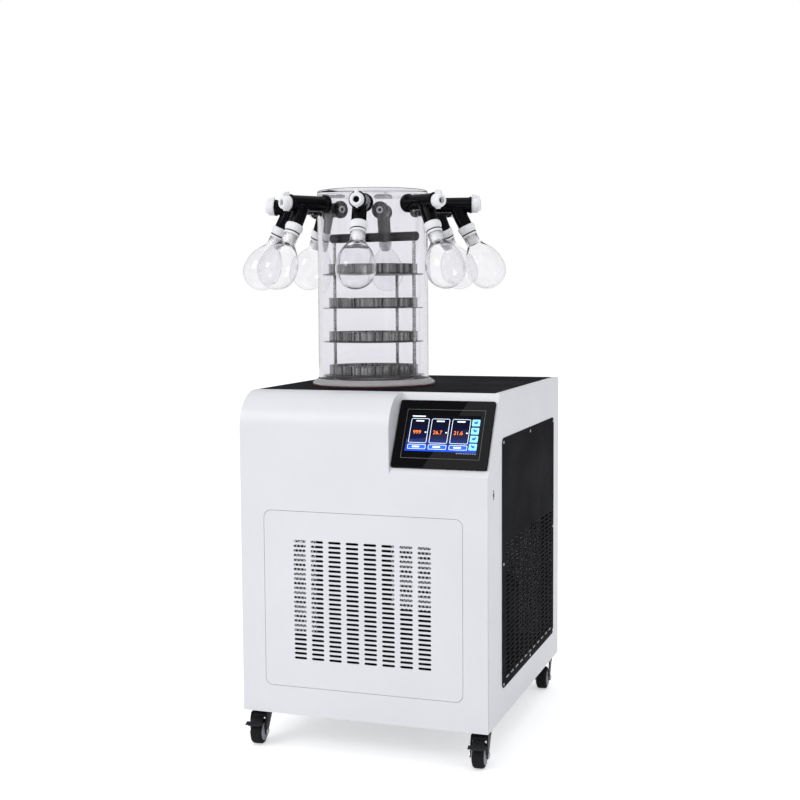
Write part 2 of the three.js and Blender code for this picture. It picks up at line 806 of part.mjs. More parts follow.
// one skin of the bulb from the neck's foot to the pole, as [radius, distance] pairs: a half drawn
// out towards the neck, then a half sphere
function bulbCurve(neckRadius, wall) {
  const [radius, shoulder] = [bulbRadius - wall, bulbShoulder - wall];
  const start = degrees(-bulbOpening);
  const points = [[neckRadius, flaskMouth + flaskNeckLength]];
  for (let ring = 0; ring < bulbRings; ring += 1) {
    const angle = start + ((Math.PI / 2 - start) * ring) / bulbRings;
    const height = angle < 0 ? shoulder : radius;
    points.push([radius * Math.cos(angle), bulbDrop + height * Math.sin(angle)]);
  }
  points.push([0, bulbDrop + radius]);
  return points;
}

function flask() {
  const boreRadius = plugRadius + clearance;
  const outer = bulbCurve(boreRadius + flaskNeckWall, 0);
  const inner = bulbCurve(boreRadius, flaskWall);
  const profile = [
    ...inner.reverse(),
    [boreRadius, flaskMouth],
    [boreRadius + flaskNeckWall, flaskMouth],
    ...outer,
  ];
  return downBranch(turned(profile, smallRound));
}

// ---------------------------------------------------------------- rack, trays, guide and trap
function dryingRack() {
  const shelfLevel = (shelf) => guideHeight + lowestShelf + shelf * shelfPitch;
  const foot = guideHeight + clearance;
  const longTop = guideHeight + handleRise - handleRadius + rodSocket;
  const shortTop = shelfLevel(shelfCount - 1) + shelfThickness + rodStub;
  const pieces = [
    rod(rodRadius, foot, longTop, tinyRound).translate(-rodCircle, 0, 0),
    rod(rodRadius, foot, longTop, tinyRound).translate(rodCircle, 0, 0),
    rod(rodRadius, foot, shortTop, tinyRound).translate(0, rodCircle, 0),
  ];
  for (let shelf = 0; shelf < shelfCount; shelf += 1) {
    pieces.push(rod(shelfRadius, shelfLevel(shelf), shelfLevel(shelf) + shelfThickness, largeRound));
  }
  return join(...pieces);
}

function rackHandle() {
  const bar = alongX(turned([
    [0, -handleLength / 2],
    [handleEndRadius, -handleLength / 2],
    [handleRadius, -handleLength / 2 + handleTaper],
    [handleRadius, handleLength / 2 - handleTaper],
    [handleEndRadius, handleLength / 2],
    [0, handleLength / 2],
  ], smallRound));
  const roof = rodSocket + clearance - handleRadius;
  const socket = rod(rodRadius + clearance, -handleRadius - through, roof, tinyRound);
  return cut(bar, socket.clone().translate(-rodCircle, 0, 0), socket.translate(rodCircle, 0, 0));
}

function tray() {
  return turned([
    [0, 0],
    [trayRadius, 0],
    [trayRadius, trayHeight],
    [trayRadius - trayWall, trayHeight],
    [trayRadius - trayWall, trayWall],
    [0, trayWall],
  ], largeRound);
}

function flowGuide() {
  return turned([
    [guideMouth, -guideDepth],
    [guideMouth + guideWall, -guideDepth],
    [guideMouth + guideWall, guideHeight - guideWall],
    [trapRadius - guideWall, guideHeight - guideWall],
    [trapRadius - guideWall, clearance],
    [trapRadius, clearance],
    [trapRadius, guideHeight],
    [guideMouth, guideHeight],
    [guideMouth, -guideDepth],
  ], largeRound);
}

function coldTrap() {
  const inner = trapRadius - trapWall;
  const seat = -topPlateThickness;
  return turned([
    [0, -trapDepth - trapWall],
    [trapRadius, -trapDepth - trapWall],
    [trapRadius, seat - trapWall],
    [trapRadius + trapFlange, seat - trapWall],
    [trapRadius + trapFlange, seat],
    [trapRadius, seat],
    [trapRadius, 0],
    [inner, 0],
    [inner, -trapDepth],
    [0, -trapDepth],
  ], largeRound);
}

function trapJacket() {
  const inner = trapRadius + clearance;
  const outer = trapRadius + jacketThickness;
  const top = -topPlateThickness - trapWall - clearance;
  return turned([
    [0, -trapDepth - trapWall - jacketThickness],
    [outer, -trapDepth - trapWall - jacketThickness],
    [outer, top],
    [inner, top],
    [inner, -trapDepth - trapWall - clearance],
    [0, -trapDepth - trapWall - clearance],
  ], largeRound);
}

// ---------------------------------------------------------------- casters
function casterPlaces() {
  const [x, y] = [cabinetWidth / 2 - casterInsetX, cabinetDepth / 2 - casterInsetY];
  return [
    { name: 'front_left', x: -x, y: -y, brake: true },
    { name: 'front_right', x, y: -y, brake: true },
    { name: 'rear_left', x: -x, y, brake: false },
    { name: 'rear_right', x, y, brake: false },
  ];
}

const cheekInner = wheelWidth / 2 + forkGap;
const cheekOuter = cheekInner + forkPlate;
const raceTop = casterPlateBottom - clearance;
const crownBottom = raceTop - raceHeight - forkPlate;
const pedalPivotZ = crownBottom - pedalPivotDrop;
const crownFront = -trail - crownPastAxle;

// across the fork, at a height and a distance ahead of the swivel axis
const crosswise = (radius, from, to, ahead, z, segments) =>
  alongX(rod(radius, from, to, segments)).translate(0, -ahead, z);

// swivel fork in the caster's frame: the swivel axis at the origin, the wheel's axle at y = -trail
function casterFork(brake) {
  const boss = axleRadius + axleBoss;
  const crownTop = crownBottom + forkPlate;
  const cheek = new THREE.Shape();
  cheek.moveTo(-trail - boss, wheelAxleZ).absarc(-trail, wheelAxleZ, boss, Math.PI, Math.PI * 1.75);
  cheek.lineTo(crownBehind, crownBottom).lineTo(crownBehind, crownTop).lineTo(crownFront, crownTop);
  cheek.lineTo(-trail - boss, crownBottom - cheekShoulder);
  const nut = axleRadius + nutMargin;
  const [nutFoot, nutEnd] = [cheekOuter - sink / 2, cheekOuter + nutThickness];
  const axleReach = cheekOuter + axleEnd;
  const pieces = [
    rod(raceRadius, crownBottom, raceTop, smallRound),
    plateUp(opening(-cheekOuter, cheekOuter, crownFront, crownBehind), crownBottom, forkPlate),
    plateRight(cheek, cheekInner, forkPlate, bossSteps),
    plateRight(cheek, -cheekOuter, forkPlate, bossSteps),
    crosswise(axleRadius, -axleReach, axleReach, trail, wheelAxleZ, tinyRound),
    crosswise(nut, nutFoot, nutEnd, trail, wheelAxleZ, hexagon),
    crosswise(nut, -nutEnd, -nutFoot, trail, wheelAxleZ, hexagon),
  ];
  if (brake) {
    pieces.push(crosswise(pedalPinRadius, -cheekOuter, cheekOuter, pedalPivotAhead, pedalPivotZ, tinyRound));
  }
  const holeRadius = turningHole(kingpinRadius, tinyRound);
  return cut(join(...pieces), rod(holeRadius, crownBottom - through, raceTop + through, tinyRound));
}

// about its own axle, which lies along X
function casterWheel() {
  const flat = 1 / Math.cos(Math.PI / wheelFacets); // puts the facets' flats, not their corners, at a radius
  const bore = turningHole(axleRadius, wheelFacets);
  const [half, tread] = [wheelWidth / 2, treadWidth / 2];
  const [outer, shoulder, rim] = [wheelRadius, wheelRadius - treadRounding, rimRadius].map((r) => r * flat);
  const profile = [
    [bore, -half],
    [rim, -half],
    [rim, -tread],
    [shoulder, -tread],
    [outer, treadCrown - tread],
    [outer, tread - treadCrown],
    [shoulder, tread],
    [rim, tread],
    [rim, half],
    [bore, half],
    [bore, -half],
  ];
  return alongX(turned(profile, wheelFacets).rotateZ(Math.PI / wheelFacets));
}

// about its own pin, which lies along X
function brakePedal() {
  const blade = box(pedalWidth, pedalLength, pedalThickness, 0, -pedalLength / 2, 0);
  const treadY = pedalTreadLength / 2 - pedalLength;
  const tread = box(pedalTreadWidth, pedalTreadLength, pedalThickness, 0, treadY, pedalTreadRise);
  const reach = cheekInner - clearance;
  const barrel = crosswise(pedalBarrelRadius, -reach, reach, 0, 0, tinyRound);
  const holeRadius = turningHole(pedalPinRadius, tinyRound);
  const pinHole = crosswise(holeRadius, -reach - through, reach + through, 0, 0, tinyRound);
  return cut(join(barrel, join(blade, tread).rotateX(degrees(pedalSlope))), pinHole);
}

// ---------------------------------------------------------------- refrigeration and services
// sealed hermetic compressor on four rubber feet
function compressor() {
  const [radius, height, foot] = [compressorRadius, compressorHeight, compressorFootHeight];
  const seam = compressorSeam;
  const shell = turned([
    [0, foot],
    [compressorBaseRadius, foot],
    [radius, foot + compressorBaseRounding],
    [radius, seam - seamHeight],
    [radius + seamRise, seam - seamHeight / 2],
    [radius + seamRise, seam + seamHeight / 2],
    [radius, seam + seamHeight],
    [radius, height - compressorCrown],
    [compressorTopRadius, height - compressorTopDrop],
    [0, height],
  ], mediumRound);
  const soleSize = 2 * (compressorFootReach + compressorFootRadius);
  const pieces = [shell, box(soleSize, soleSize, soleThickness, 0, 0, foot)];
  for (const [x, y] of [[-1, -1], [1, -1], [1, 1], [-1, 1]]) {
    pieces.push(rod(compressorFootRadius, clearance, foot, tinyRound)
      .translate(x * compressorFootReach, y * compressorFootReach, 0));
  }
  return join(...pieces);
}

const condenserFront = frontY + sheet + ledgeThickness + condenserStandoff;
const fanCentreZ = condenserHeight / 2;
const shroudBack = condenserDepth + shroudDepth;

// finned block with its fan shroud and the bracket that holds the fan's motor; front face at y = 0
function condenser() {
  const half = condenserWidth / 2;
  const pitch = (condenserWidth - 2 * condenserHeader) / finCount;
  const slits = [];
  for (let fin = 0; fin < finCount; fin += 1) {
    const x = -half + condenserHeader + (fin + 0.5) * pitch;
    slits.push(box(pitch * finOpening, condenserDepth - 2 * finEdge, condenserHeight + 2 * through,
      x, condenserDepth / 2, condenserHeight / 2));
  }
  const block = plateUp(opening(-half, half, 0, condenserDepth), 0, condenserHeight);
  const hood = ring(opening(-half, half, 0, condenserHeight),
    opening(-half + sheet, half - sheet, sheet, condenserHeight - sheet));
  const hoodFace = opening(-half, half, 0, condenserHeight);
  hoodFace.holes.push(circle(fanRadius + fanGap, 0, fanCentreZ));
  const armX = (fanRadius + fanGap + half) / 2;
  const motorFront = shroudBack + motorStandoff;
  const shaftFront = shroudBack - fanHubLength / 2;
  const armEnd = motorFront + motorLength / 2;
  const arm = (x) => box(bracketSheet, armEnd - shroudBack + sheet, bracketWidth,
    x, (armEnd + shroudBack - sheet) / 2, fanCentreZ);
  return join(
    cut(block, ...slits),
    plateForward(hood, shroudBack, shroudDepth + finEdge / 2),
    plateForward(hoodFace, shroudBack, sheet, mediumRound / 2),
    arm(-armX),
    arm(armX),
    box(2 * armX + bracketSheet, bracketSheet, bracketWidth, 0, armEnd - bracketSheet / 2, fanCentreZ),
    alongY(motorRadius, motorFront, motorFront + motorLength, smallRound).translate(0, 0, fanCentreZ),
    alongY(shaftRadius, shaftFront, motorFront + sink, tinyRound).translate(0, 0, fanCentreZ),
  );
}

// about its own shaft, which lies along Y
function condenserFan() {
  const pieces = [alongY(fanHubRadius, -fanHubLength / 2, fanHubLength / 2, smallRound)];
  for (let blade = 0; blade < fanBlades; blade += 1) {
    const outline = opening(fanHubRadius - through, fanRadius, -bladeChord / 2, bladeChord / 2, bladeCorner);
    pieces.push(plateUp(outline, -bladeThickness / 2, bladeThickness)
      .rotateX(Math.PI / 2 - degrees(bladePitch))
      .rotateY((blade * Math.PI * 2) / fanBlades));
  }
  const holeRadius = turningHole(shaftRadius, tinyRound);
  return cut(join(...pieces), alongY(holeRadius, -fanHubLength, fanHubLength, tinyRound));
}

// small-flange pipe stub for the vacuum hose; y runs backwards from the rear panel's outer face
function vacuumPort() {
  const bore = portPipeRadius - portPipeWall;
  const stub = turned([
    [bore, -portPipeInside],
    [portPipeRadius, -portPipeInside],
    [portPipeRadius, clearance],
    [portCollarRadius, clearance],
    [portCollarRadius, portCollarThickness],
    [portPipeRadius, portCollarThickness],
    [portPipeRadius, portPipeReach - 2 * portRimThickness],
    [portRimRadius, portPipeReach - portRimThickness],
    [portRimRadius, portPipeReach],
    [bore, portPipeReach],
    [bore, -portPipeInside],
  ], smallRound);
  return stub.rotateX(-Math.PI / 2);
}

// the module's own frame: x across, y backwards from the rear panel's outer face, z up
function powerInlet() {
  const [half, rise] = [inletWidth / 2, inletHeight / 2];
  const flange = rectangle(inletWidth + 2 * inletFlange, inletHeight + 2 * inletFlange, inletCorner);
  const face = clearance + inletFlangeThickness;
  const body = join(
    plateForward(flange, face, inletFlangeThickness),
    plateForward(opening(-half, half, -rise, rise), face, inletDepth + face),
  );
  const socket = rectangle(socketWidth, socketHeight, inletCorner, 0, -socketDrop);
  const well = rectangle(rockerWidth + 2 * clearance, rockerHeight + rockerSwing, 0, 0, rockerRise);
  const pivotReach = rockerWidth / 2 + rockerPinLength + clearance;
  const pivotHole = crosswise(turningHole(rockerPinRadius, tinyRound), -pivotReach, pivotReach,
    rockerPivotDepth - face, rockerRise, tinyRound);
  const hollowed = cut(body,
    plateForward(socket, face + through, socketDepth + through),
    plateForward(well, face + through, rockerDepth + rockerRoom + through),
    pivotHole);
  const pins = [-1, 0, 1].map((side) => {
    const [pinFloor, pinDepth] = [face - socketDepth - sink, pinLength + sink];
    const pinZ = (side === 0 ? pinStagger : -pinStagger) - socketDrop;
    return box(pinWidth, pinDepth, pinHeight, side * pinPitch, pinFloor + pinDepth / 2, pinZ);
  });
  return join(hollowed, ...pins);
}

// about its own pivot, which lies along X; the front edge is a shallow valley
function powerSwitch() {
  const half = rockerHeight / 2;
  const profile = new THREE.Shape();
  profile.moveTo(rockerPivotDepth, -half);
  profile.lineTo(rockerPivotDepth - rockerDip, 0).lineTo(rockerPivotDepth, half);
  profile.lineTo(0, half).lineTo(rockerPivotDepth - rockerDepth, rockerHeel / 2);
  profile.lineTo(rockerPivotDepth - rockerDepth, -rockerHeel / 2).lineTo(0, -half);
  const reach = rockerWidth / 2 + rockerPinLength;
  return join(
    plateRight(profile, -rockerWidth / 2, rockerWidth),
    crosswise(rockerPinRadius, -reach, reach, 0, 0, tinyRound),
  );
}

// housing behind the slot in the cabinet's right wall; x runs outwards from the wall's outer face
function usbPort() {
  const [half, rise] = [usbWidth / 2, usbHeight / 2];
  const nose = plateRight(opening(-half, half, -rise, rise), -2 * sheet, 2 * sheet - clearance);
  const block = opening(-half - usbRim / 2, half + usbRim / 2, -rise - usbRim, rise + usbRim);
  const housing = plateRight(block, -sheet - clearance - usbDepth, usbDepth);
  const mouth = opening(usbWall - half, half - usbWall, usbWall - rise, rise - usbWall);
  const tongue = opening(-usbTongue / 2, usbTongue / 2, 2 * usbWall - rise, rise - 2 * usbWall);
  return join(cut(join(nose, housing), plateRight(mouth, -usbFloor, usbDepth)),
    plateRight(tongue, -usbFloor - sink, usbTongueLength + sink));
}

// ---------------------------------------------------------------- assembly
place('cabinet_shell', cabinetShell(), whitePaint);
place('base_tray', baseTray(), zinc);
place('service_panel', servicePanel(), whitePaint);
place('vent_cover_left', ventCover(leftX - clearance - coverThickness), blackPaint);
place('vent_cover_right', ventCover(rightX + clearance), blackPaint);
place('rear_panel', rearPanel(), whitePaint);
place('top_plate', topPlate(), blackPaint);
place('touch_panel', touchPanel(), blackGlass);

const stack = frameAt(chamberX, chamberY, cabinetTop);
place('cold_trap', coldTrap(), stainless, stack);
place('trap_jacket', trapJacket(), whitePlastic, stack);
place('flow_guide', flowGuide(), stainless, stack);
place('chamber_seal', chamberSeal(), darkRedRubber, stack);
place('drying_chamber', dryingChamber(), acrylic, stack).position.z = sealThickness;

const rack = frameAt(0, 0, 0, rackTurn, stack);
place('drying_rack', dryingRack(), stainless, rack);
place('rack_handle', rackHandle(), darkPlastic, rack).position.z = guideHeight + handleRise;
for (let shelf = 0; shelf < shelfCount; shelf += 1) {
  const seat = guideHeight + lowestShelf + shelf * shelfPitch + shelfThickness + clearance;
  place(`tray_${shelf + 1}`, tray(), stainless, rack).position.z = seat;
}

for (let port = 0; port < portCount; port += 1) {
  const valve = frameAt(chamberX, chamberY, portZ, portAzimuth(port));
  place(`valve_body_${port + 1}`, valveBody(), blackRubber, valve);
  place(`valve_knob_${port + 1}`, valveKnob(), whitePlastic, valve);
  place(`flask_${port + 1}`, flask(), glass, valve);
}

for (const { name, x, y, brake } of casterPlaces()) {
  const caster = frameAt(x, y, 0, casterTurn);
  place(`caster_fork_${name}`, casterFork(brake), blackEnamel, caster);
  place(`caster_wheel_${name}`, casterWheel(), tyre, caster).position.set(0, -trail, wheelAxleZ);
  if (brake) {
    const pedal = place(`brake_pedal_${name}`, brakePedal(), darkPlastic, caster);
    pedal.position.set(0, -pedalPivotAhead, pedalPivotZ);
  }
}

place('compressor', compressor(), blackEnamel)
  .position.set(rightX - compressorInset, rearY - compressorSetback, baseTop);
place('condenser', condenser(), zinc).position.set(0, condenserFront, baseTop + clearance);
place('condenser_fan', condenserFan(), darkPlastic)
  .position.set(0, condenserFront + shroudBack, baseTop + clearance + fanCentreZ);
place('vacuum_port', vacuumPort(), stainless).position.set(rearPortX, rearFace, rearPortZ);
place('power_inlet', powerInlet(), darkPlastic).position.set(inletX, rearFace, inletZ);
const rocker = place('power_switch', powerSwitch(), blackGlass);
const rockerY = rearFace + clearance + inletFlangeThickness - rockerPivotDepth;
rocker.position.set(inletX, rockerY, inletZ + rockerRise);
rocker.rotation.x = -degrees(rockerTilt);
place('usb_port', usbPort(), darkPlastic).position.set(rightX, frontY + usbSetback, usbZ);

// the origin goes to the middle of the whole object's footprint, on the floor
const bounds = new THREE.Box3().setFromObject(part, true);
const middle = bounds.getCenter(new THREE.Vector3());
for (const piece of part.children) {
  piece.position.x -= middle.x;
  piece.position.y -= middle.y;
  piece.position.z -= bounds.min.z;
}

export default part;
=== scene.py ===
# Freeze dryer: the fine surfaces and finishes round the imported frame.
# Sizes are in millimetres; +Z is up, the front faces -Y. Meshes are scaled to metres as they are made.
import json
import math

import bmesh
import bpy
import numpy as np
from mathutils import Matrix, Vector
from mathutils.geometry import delaunay_2d_cdt


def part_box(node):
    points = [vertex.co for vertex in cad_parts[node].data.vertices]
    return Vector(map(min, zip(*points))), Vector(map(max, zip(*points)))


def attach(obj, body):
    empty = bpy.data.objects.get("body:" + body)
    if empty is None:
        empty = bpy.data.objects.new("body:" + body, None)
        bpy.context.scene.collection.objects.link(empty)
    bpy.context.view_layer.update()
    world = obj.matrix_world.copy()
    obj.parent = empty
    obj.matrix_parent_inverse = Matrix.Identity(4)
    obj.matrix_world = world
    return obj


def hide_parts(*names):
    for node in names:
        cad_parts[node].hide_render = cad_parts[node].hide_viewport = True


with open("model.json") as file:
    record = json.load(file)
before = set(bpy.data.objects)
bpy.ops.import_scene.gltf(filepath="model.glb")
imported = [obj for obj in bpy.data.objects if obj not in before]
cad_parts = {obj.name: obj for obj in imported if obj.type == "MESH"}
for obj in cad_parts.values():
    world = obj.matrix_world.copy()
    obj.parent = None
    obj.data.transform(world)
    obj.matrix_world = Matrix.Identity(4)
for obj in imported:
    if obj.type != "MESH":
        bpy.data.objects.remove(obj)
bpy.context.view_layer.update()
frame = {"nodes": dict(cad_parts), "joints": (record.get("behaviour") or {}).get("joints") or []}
mm = 0.001
body = "freeze_dryer"


def boxOf(node):
    low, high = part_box(node)
    return np.array(low) / mm, np.array(high) / mm


def jointNamed(name):
    joint = next(j for j in frame["joints"] if j["name"] == name)
    return np.array(joint["pos_m"]) / mm, np.array(joint["axis"], float)


# places read from the frame
shellLow, shellHigh = boxOf("cabinet_shell")
sealLow, sealHigh = boxOf("chamber_seal")
left, front, bottom = shellLow
right, rear, top = shellHigh
centreX = (left + right) / 2
axisX, axisY = (sealLow + sealHigh)[:2] / 2
ports = 8
portZ = jointNamed("valve_knob_1_turn")[0][2]


# points and frames
def frameOf(origin, across, up):
    # a 4x4 frame: x across, y up, z out of the face they span
    across, up = np.array(across, float), np.array(up, float)
    across /= np.linalg.norm(across)
    up /= np.linalg.norm(up)
    place = np.eye(4)
    place[:3, 0], place[:3, 1], place[:3, 2], place[:3, 3] = across, up, np.cross(across, up), origin
    return place


def moved(points, place):
    return points @ place[:3, :3].T + place[:3, 3]


def carried(part, place, *index):
    # a part taken into a frame, with its material's index if it has one
    return (moved(part[0], place), *part[1:], *index)


def turnedFrame(x, y, z, degrees):
    # upright frame whose x axis is turned from +X by some degrees
    a = math.radians(degrees)
    return frameOf((x, y, z), (math.cos(a), math.sin(a), 0), (-math.sin(a), math.cos(a), 0))


def rounded(corners, steps=5, closed=True):
    # outline through corners (x, y, radius): an arc tangent to both sides takes each corner's place
    corners = np.array([(*c, 0)[:3] for c in corners], float)
    outline = []
    for i, (x, y, radius) in enumerate(corners):
        here = np.array((x, y))
        if radius == 0 or (not closed and i in (0, len(corners) - 1)):
            outline.append(here[None])
            continue
        before = corners[i - 1, :2] - here
        after = corners[(i + 1) % len(corners), :2] - here
        before /= np.linalg.norm(before)
        after /= np.linalg.norm(after)
        half = math.acos(np.clip(before @ after, -1, 1)) / 2
        bisector = (before + after) / np.linalg.norm(before + after)
        centre = here + bisector * radius / math.sin(half)
        start = here + before * radius / math.tan(half) - centre
        end = here + after * radius / math.tan(half) - centre
        first = math.atan2(start[1], start[0])
        sweep = (math.atan2(end[1], end[0]) - first + math.pi) % (2 * math.pi) - math.pi
        angles = first + sweep * np.linspace(0, 1, steps + 1)
        outline.append(centre + radius * np.stack([np.cos(angles), np.sin(angles)], 1))
    return np.concatenate(outline)


def roundedBox(width, height, radius, x=0, y=0, steps=5):
    w, h = width / 2, height / 2
    return rounded(
        [(x - w, y - h, radius), (x + w, y - h, radius), (x + w, y + h, radius), (x - w, y + h, radius)],
        steps
    )


def circleLoop(radius, x=0, y=0, count=48):
    a = np.linspace(0, 2 * math.pi, count, endpoint=False)
    return np.stack([x + radius * np.cos(a), y + radius * np.sin(a)], 1)


def slotLoop(length, height, steps=5):
    # a stadium: two half circles joined by straights, anticlockwise
    a = np.linspace(-math.pi / 2, math.pi / 2, steps + 1)
    end = np.stack([np.cos(a), np.sin(a)], 1) * height / 2
    reach = np.array(((length - height) / 2, 0))
    return np.concatenate([end + reach, -end - reach])


def gridCentres(columns, rows, pitchX, pitchY, x, y):
    u = x + (np.arange(columns) - (columns - 1) / 2) * pitchX
    v = y + (np.arange(rows) - (rows - 1) / 2) * pitchY
    return np.stack(np.meshgrid(u, v), -1).reshape(-1, 2)


def holesAt(centres, loop):
    # copies of one loop, turned clockwise so that they read as holes
    return centres[:, None, :] + loop[None, ::-1, :]


# surfaces
def gridFaces(rows, columns, wrapRows=False, wrapColumns=False):
    # quads between neighbouring points of a grid stored row by row
    r = np.arange(rows if wrapRows else rows - 1)[:, None]
    c = np.arange(columns if wrapColumns else columns - 1)[None, :]
    nextR, nextC = (r + 1) % rows, (c + 1) % columns
    quads = np.stack(
        np.broadcast_arrays(
            r * columns + c, r * columns + nextC, nextR * columns + nextC, nextR * columns + c
        ),
        -1
    )
    return quads.reshape(-1, 4)


def turned(profile, place=np.eye(4), segments=64):
    # point(a, i) = (r_i cos a, r_i sin a, h_i) for a profile of (r, h), anticlockwise in that plane;
    # it closes on the axis where it starts there, and on itself elsewhere
    profile = np.asarray(profile, float)
    a = np.linspace(0, 2 * math.pi, segments, endpoint=False)
    r, h = profile[:, 0:1], profile[:, 1:2]
    points = np.stack([r * np.cos(a), r * np.sin(a), np.broadcast_to(h, (len(h), segments))], -1)
    ring = profile[0, 0] > 0
    return moved(points.reshape(-1, 3), place), gridFaces(len(profile), segments, ring, True)


def inset(loops, amount):
    # every corner moves to the left of the loop's travel, so an outline shrinks and a hole widens
    ahead = np.roll(loops, -1, 1) - loops
    ahead /= np.linalg.norm(ahead, axis=2, keepdims=True)
    normal = np.stack([-ahead[..., 1], ahead[..., 0]], -1)
    behind = np.roll(normal, 1, 1)
    both = normal + behind
    return loops + both * amount / (1 + (normal * behind).sum(2, keepdims=True))


def plate(outline, holes, low, high, place=np.eye(4), edge=0.3, backEdge=0.0, steps=2):
    # a sheet from low to high along z: walls round each loop, with the face's edge rounded off, and two caps
    groups = [np.asarray(outline, float)[None]] + [np.asarray(h, float) for h in holes]
    a = np.linspace(0, math.pi / 2, steps + 1)
    levels = [(high - edge + edge * math.sin(t), edge * (1 - math.cos(t))) for t in a]
    if backEdge:
        levels = [
            (low + backEdge * (1 - math.sin(t)), backEdge * (1 - math.cos(t))) for t in a[::-1]
        ] + levels
    else:
        levels = [(low, 0)] + levels
    rings = []
    for height, pull in levels:
        flat = np.concatenate([inset(g, pull).reshape(-1, 2) for g in groups])
        rings.append(np.column_stack([flat, np.full(len(flat), height)]))
    size = len(rings[0])
    after, hole, start = [], [], 0
    for g in groups:
        index = np.arange(g.shape[0] * g.shape[1]).reshape(g.shape[:2])
        after.append((start + np.roll(index, -1, 1)).ravel())
        hole.append(np.repeat(len(hole) * 10 ** 6 + np.arange(g.shape[0]), g.shape[1]))
        start += index.size
    after, hole = np.concatenate(after), np.concatenate(hole)
    here = np.arange(size)
    walls = [
        np.stack([here, after, after + size, here + size], 1) + k * size for k in range(len(levels) - 1)
    ]
    middle = rings[-1][:, :2]
    caps = np.array(
        delaunay_2d_cdt([Vector(p) for p in middle], np.stack([here, after], 1).tolist(), [], 1, 1e-7)[2]
    )
    within = (
        hole[caps[:, 0]] == hole[caps[:, 1]]
    ) & (hole[caps[:, 1]] == hole[caps[:, 2]]) & (hole[caps[:, 0]] > 0)
    caps = caps[~within]
    faces = [f.tolist() for f in (*walls, caps[:, ::-1], caps + (len(levels) - 1) * size)]
    return moved(np.concatenate(rings), place), sum(faces, [])


def boxParts(width, depth, height, place, edge=0.5, x=0, y=0, z=0):
    # a block standing on z, with every edge rounded a little
    return plate(roundedBox(width, depth, edge, x, y, 2), [], z, z + height, place, edge, edge)


# pieces
def makePiece(name, parts, materials, nodes=(), rides=body, smooth=35):
    # parts are (points, faces) or (points, faces, material index), in millimetres
    materials = materials if isinstance(materials, (list, tuple)) else [materials]
    faces, indices, start = [], [], 0
    for points, corners, *index in parts:
        rows = corners.tolist() if isinstance(corners, np.ndarray) else corners
        faces += [[i + start for i in row] for row in rows]
        indices += np.broadcast_to(index[0] if index else 0, len(rows)).tolist()
        start += len(points)
    mesh = bpy.data.meshes.new(name)
    mesh.from_pydata((np.concatenate([part[0] for part in parts]) * mm).tolist(), [], faces)
    for material in materials:
        mesh.materials.append(material)
    mesh.polygons.foreach_set("material_index", indices)
    weld(mesh)
    mesh.polygons.foreach_set("use_smooth", [True] * len(mesh.polygons))
    mesh.set_sharp_from_angle(angle=math.radians(smooth))
    return finishPiece(bpy.data.objects.new(name, mesh), nodes, rides)


def finishPiece(piece, nodes=(), rides=body):
    bpy.context.scene.collection.objects.link(piece)
    if nodes:
        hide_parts(*nodes)
    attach(piece, rides)
    return piece


def evenNormals(piece):
    # lets the broad flat faces set the shading, so a rounded edge doesn't tint them
    even = piece.modifiers.new("even", "WEIGHTED_NORMAL")
    even.keep_sharp = True
    return piece


def readRows(items, name, width=3):
    # one attribute of all vertices, edges or faces as rows of numbers
    rows = np.empty(len(items) * width, int if name in ("vertices", "loop_total") else float)
    items.foreach_get(name, rows)
    return rows.reshape(-1, width)


def weld(mesh):
    work = bmesh.new()
    work.from_mesh(mesh)
    bmesh.ops.remove_doubles(work, verts=work.verts, dist=1e-6)
    work.to_mesh(mesh)
    work.free()


# materials
def addNode(tree, kind, inputs=None, **settings):
    node = tree.nodes.new(kind)
    for key, value in settings.items():
        setattr(node, key, value)
    for key, value in (inputs or {}).items():
        if isinstance(value, bpy.types.NodeSocket):
            tree.links.new(value, node.inputs[key])
        else:
            node.inputs[key].default_value = value
    return node


def rangeNode(tree, value, low, high, toLow=0.0, toHigh=1.0):
    # carries a value from one range to another
    settings = {"Value": value, "From Min": low, "From Max": high, "To Min": toLow, "To Max": toHigh}
    return addNode(tree, "ShaderNodeMapRange", settings).outputs["Result"]


def mixTree(tree, share, light, dark):
    mix = addNode(tree, "ShaderNodeMix", {"Factor": share}, data_type="RGBA")
    tree.links.new(light, mix.inputs["A"])
    tree.links.new(dark, mix.inputs["B"])
    return mix.outputs["Result"]


def startGroup(name, inputs, outputs):
    tree = bpy.data.node_groups.new(name, "ShaderNodeTree")
    for label, kind, value in inputs:
        tree.interface.new_socket(name=label, in_out="INPUT", socket_type=kind).default_value = value
    for label, kind in outputs:
        tree.interface.new_socket(name=label, in_out="OUTPUT", socket_type=kind)
    return tree, tree.nodes.new("NodeGroupInput").outputs, tree.nodes.new("NodeGroupOutput")


def grainGroup():
    # fine grain for the bump, and slow clouds that drift the roughness between two values
    tree, given, result = startGroup(
        "fineGrain",
        [
            ("Scale", "NodeSocketFloat", 900.0),
            ("Height", "NodeSocketFloat", 0.1),
            ("Low", "NodeSocketFloat", 0.3),
            ("High", "NodeSocketFloat", 0.4),
            ("Clouds", "NodeSocketFloat", 9.0),
        ],
        [("Roughness", "NodeSocketFloat"), ("Normal", "NodeSocketVector")],
    )
    where = addNode(tree, "ShaderNodeTexCoord").outputs["Object"]
    grain = addNode(tree, "ShaderNodeTexNoise", {"Vector": where, "Scale": given["Scale"], "Detail": 3.0})
    bump = addNode(
        tree, "ShaderNodeBump",
        {"Height": grain.outputs["Fac"], "Strength": given["Height"], "Distance": 0.0004}
    )
    clouds = addNode(tree, "ShaderNodeTexNoise", {"Vector": where, "Scale": given["Clouds"], "Detail": 4.0})
    drift = rangeNode(tree, clouds.outputs["Fac"], 0.3, 0.7, given["Low"], given["High"])
    tree.links.new(drift, result.inputs["Roughness"])
    tree.links.new(bump.outputs["Normal"], result.inputs["Normal"])
    return tree


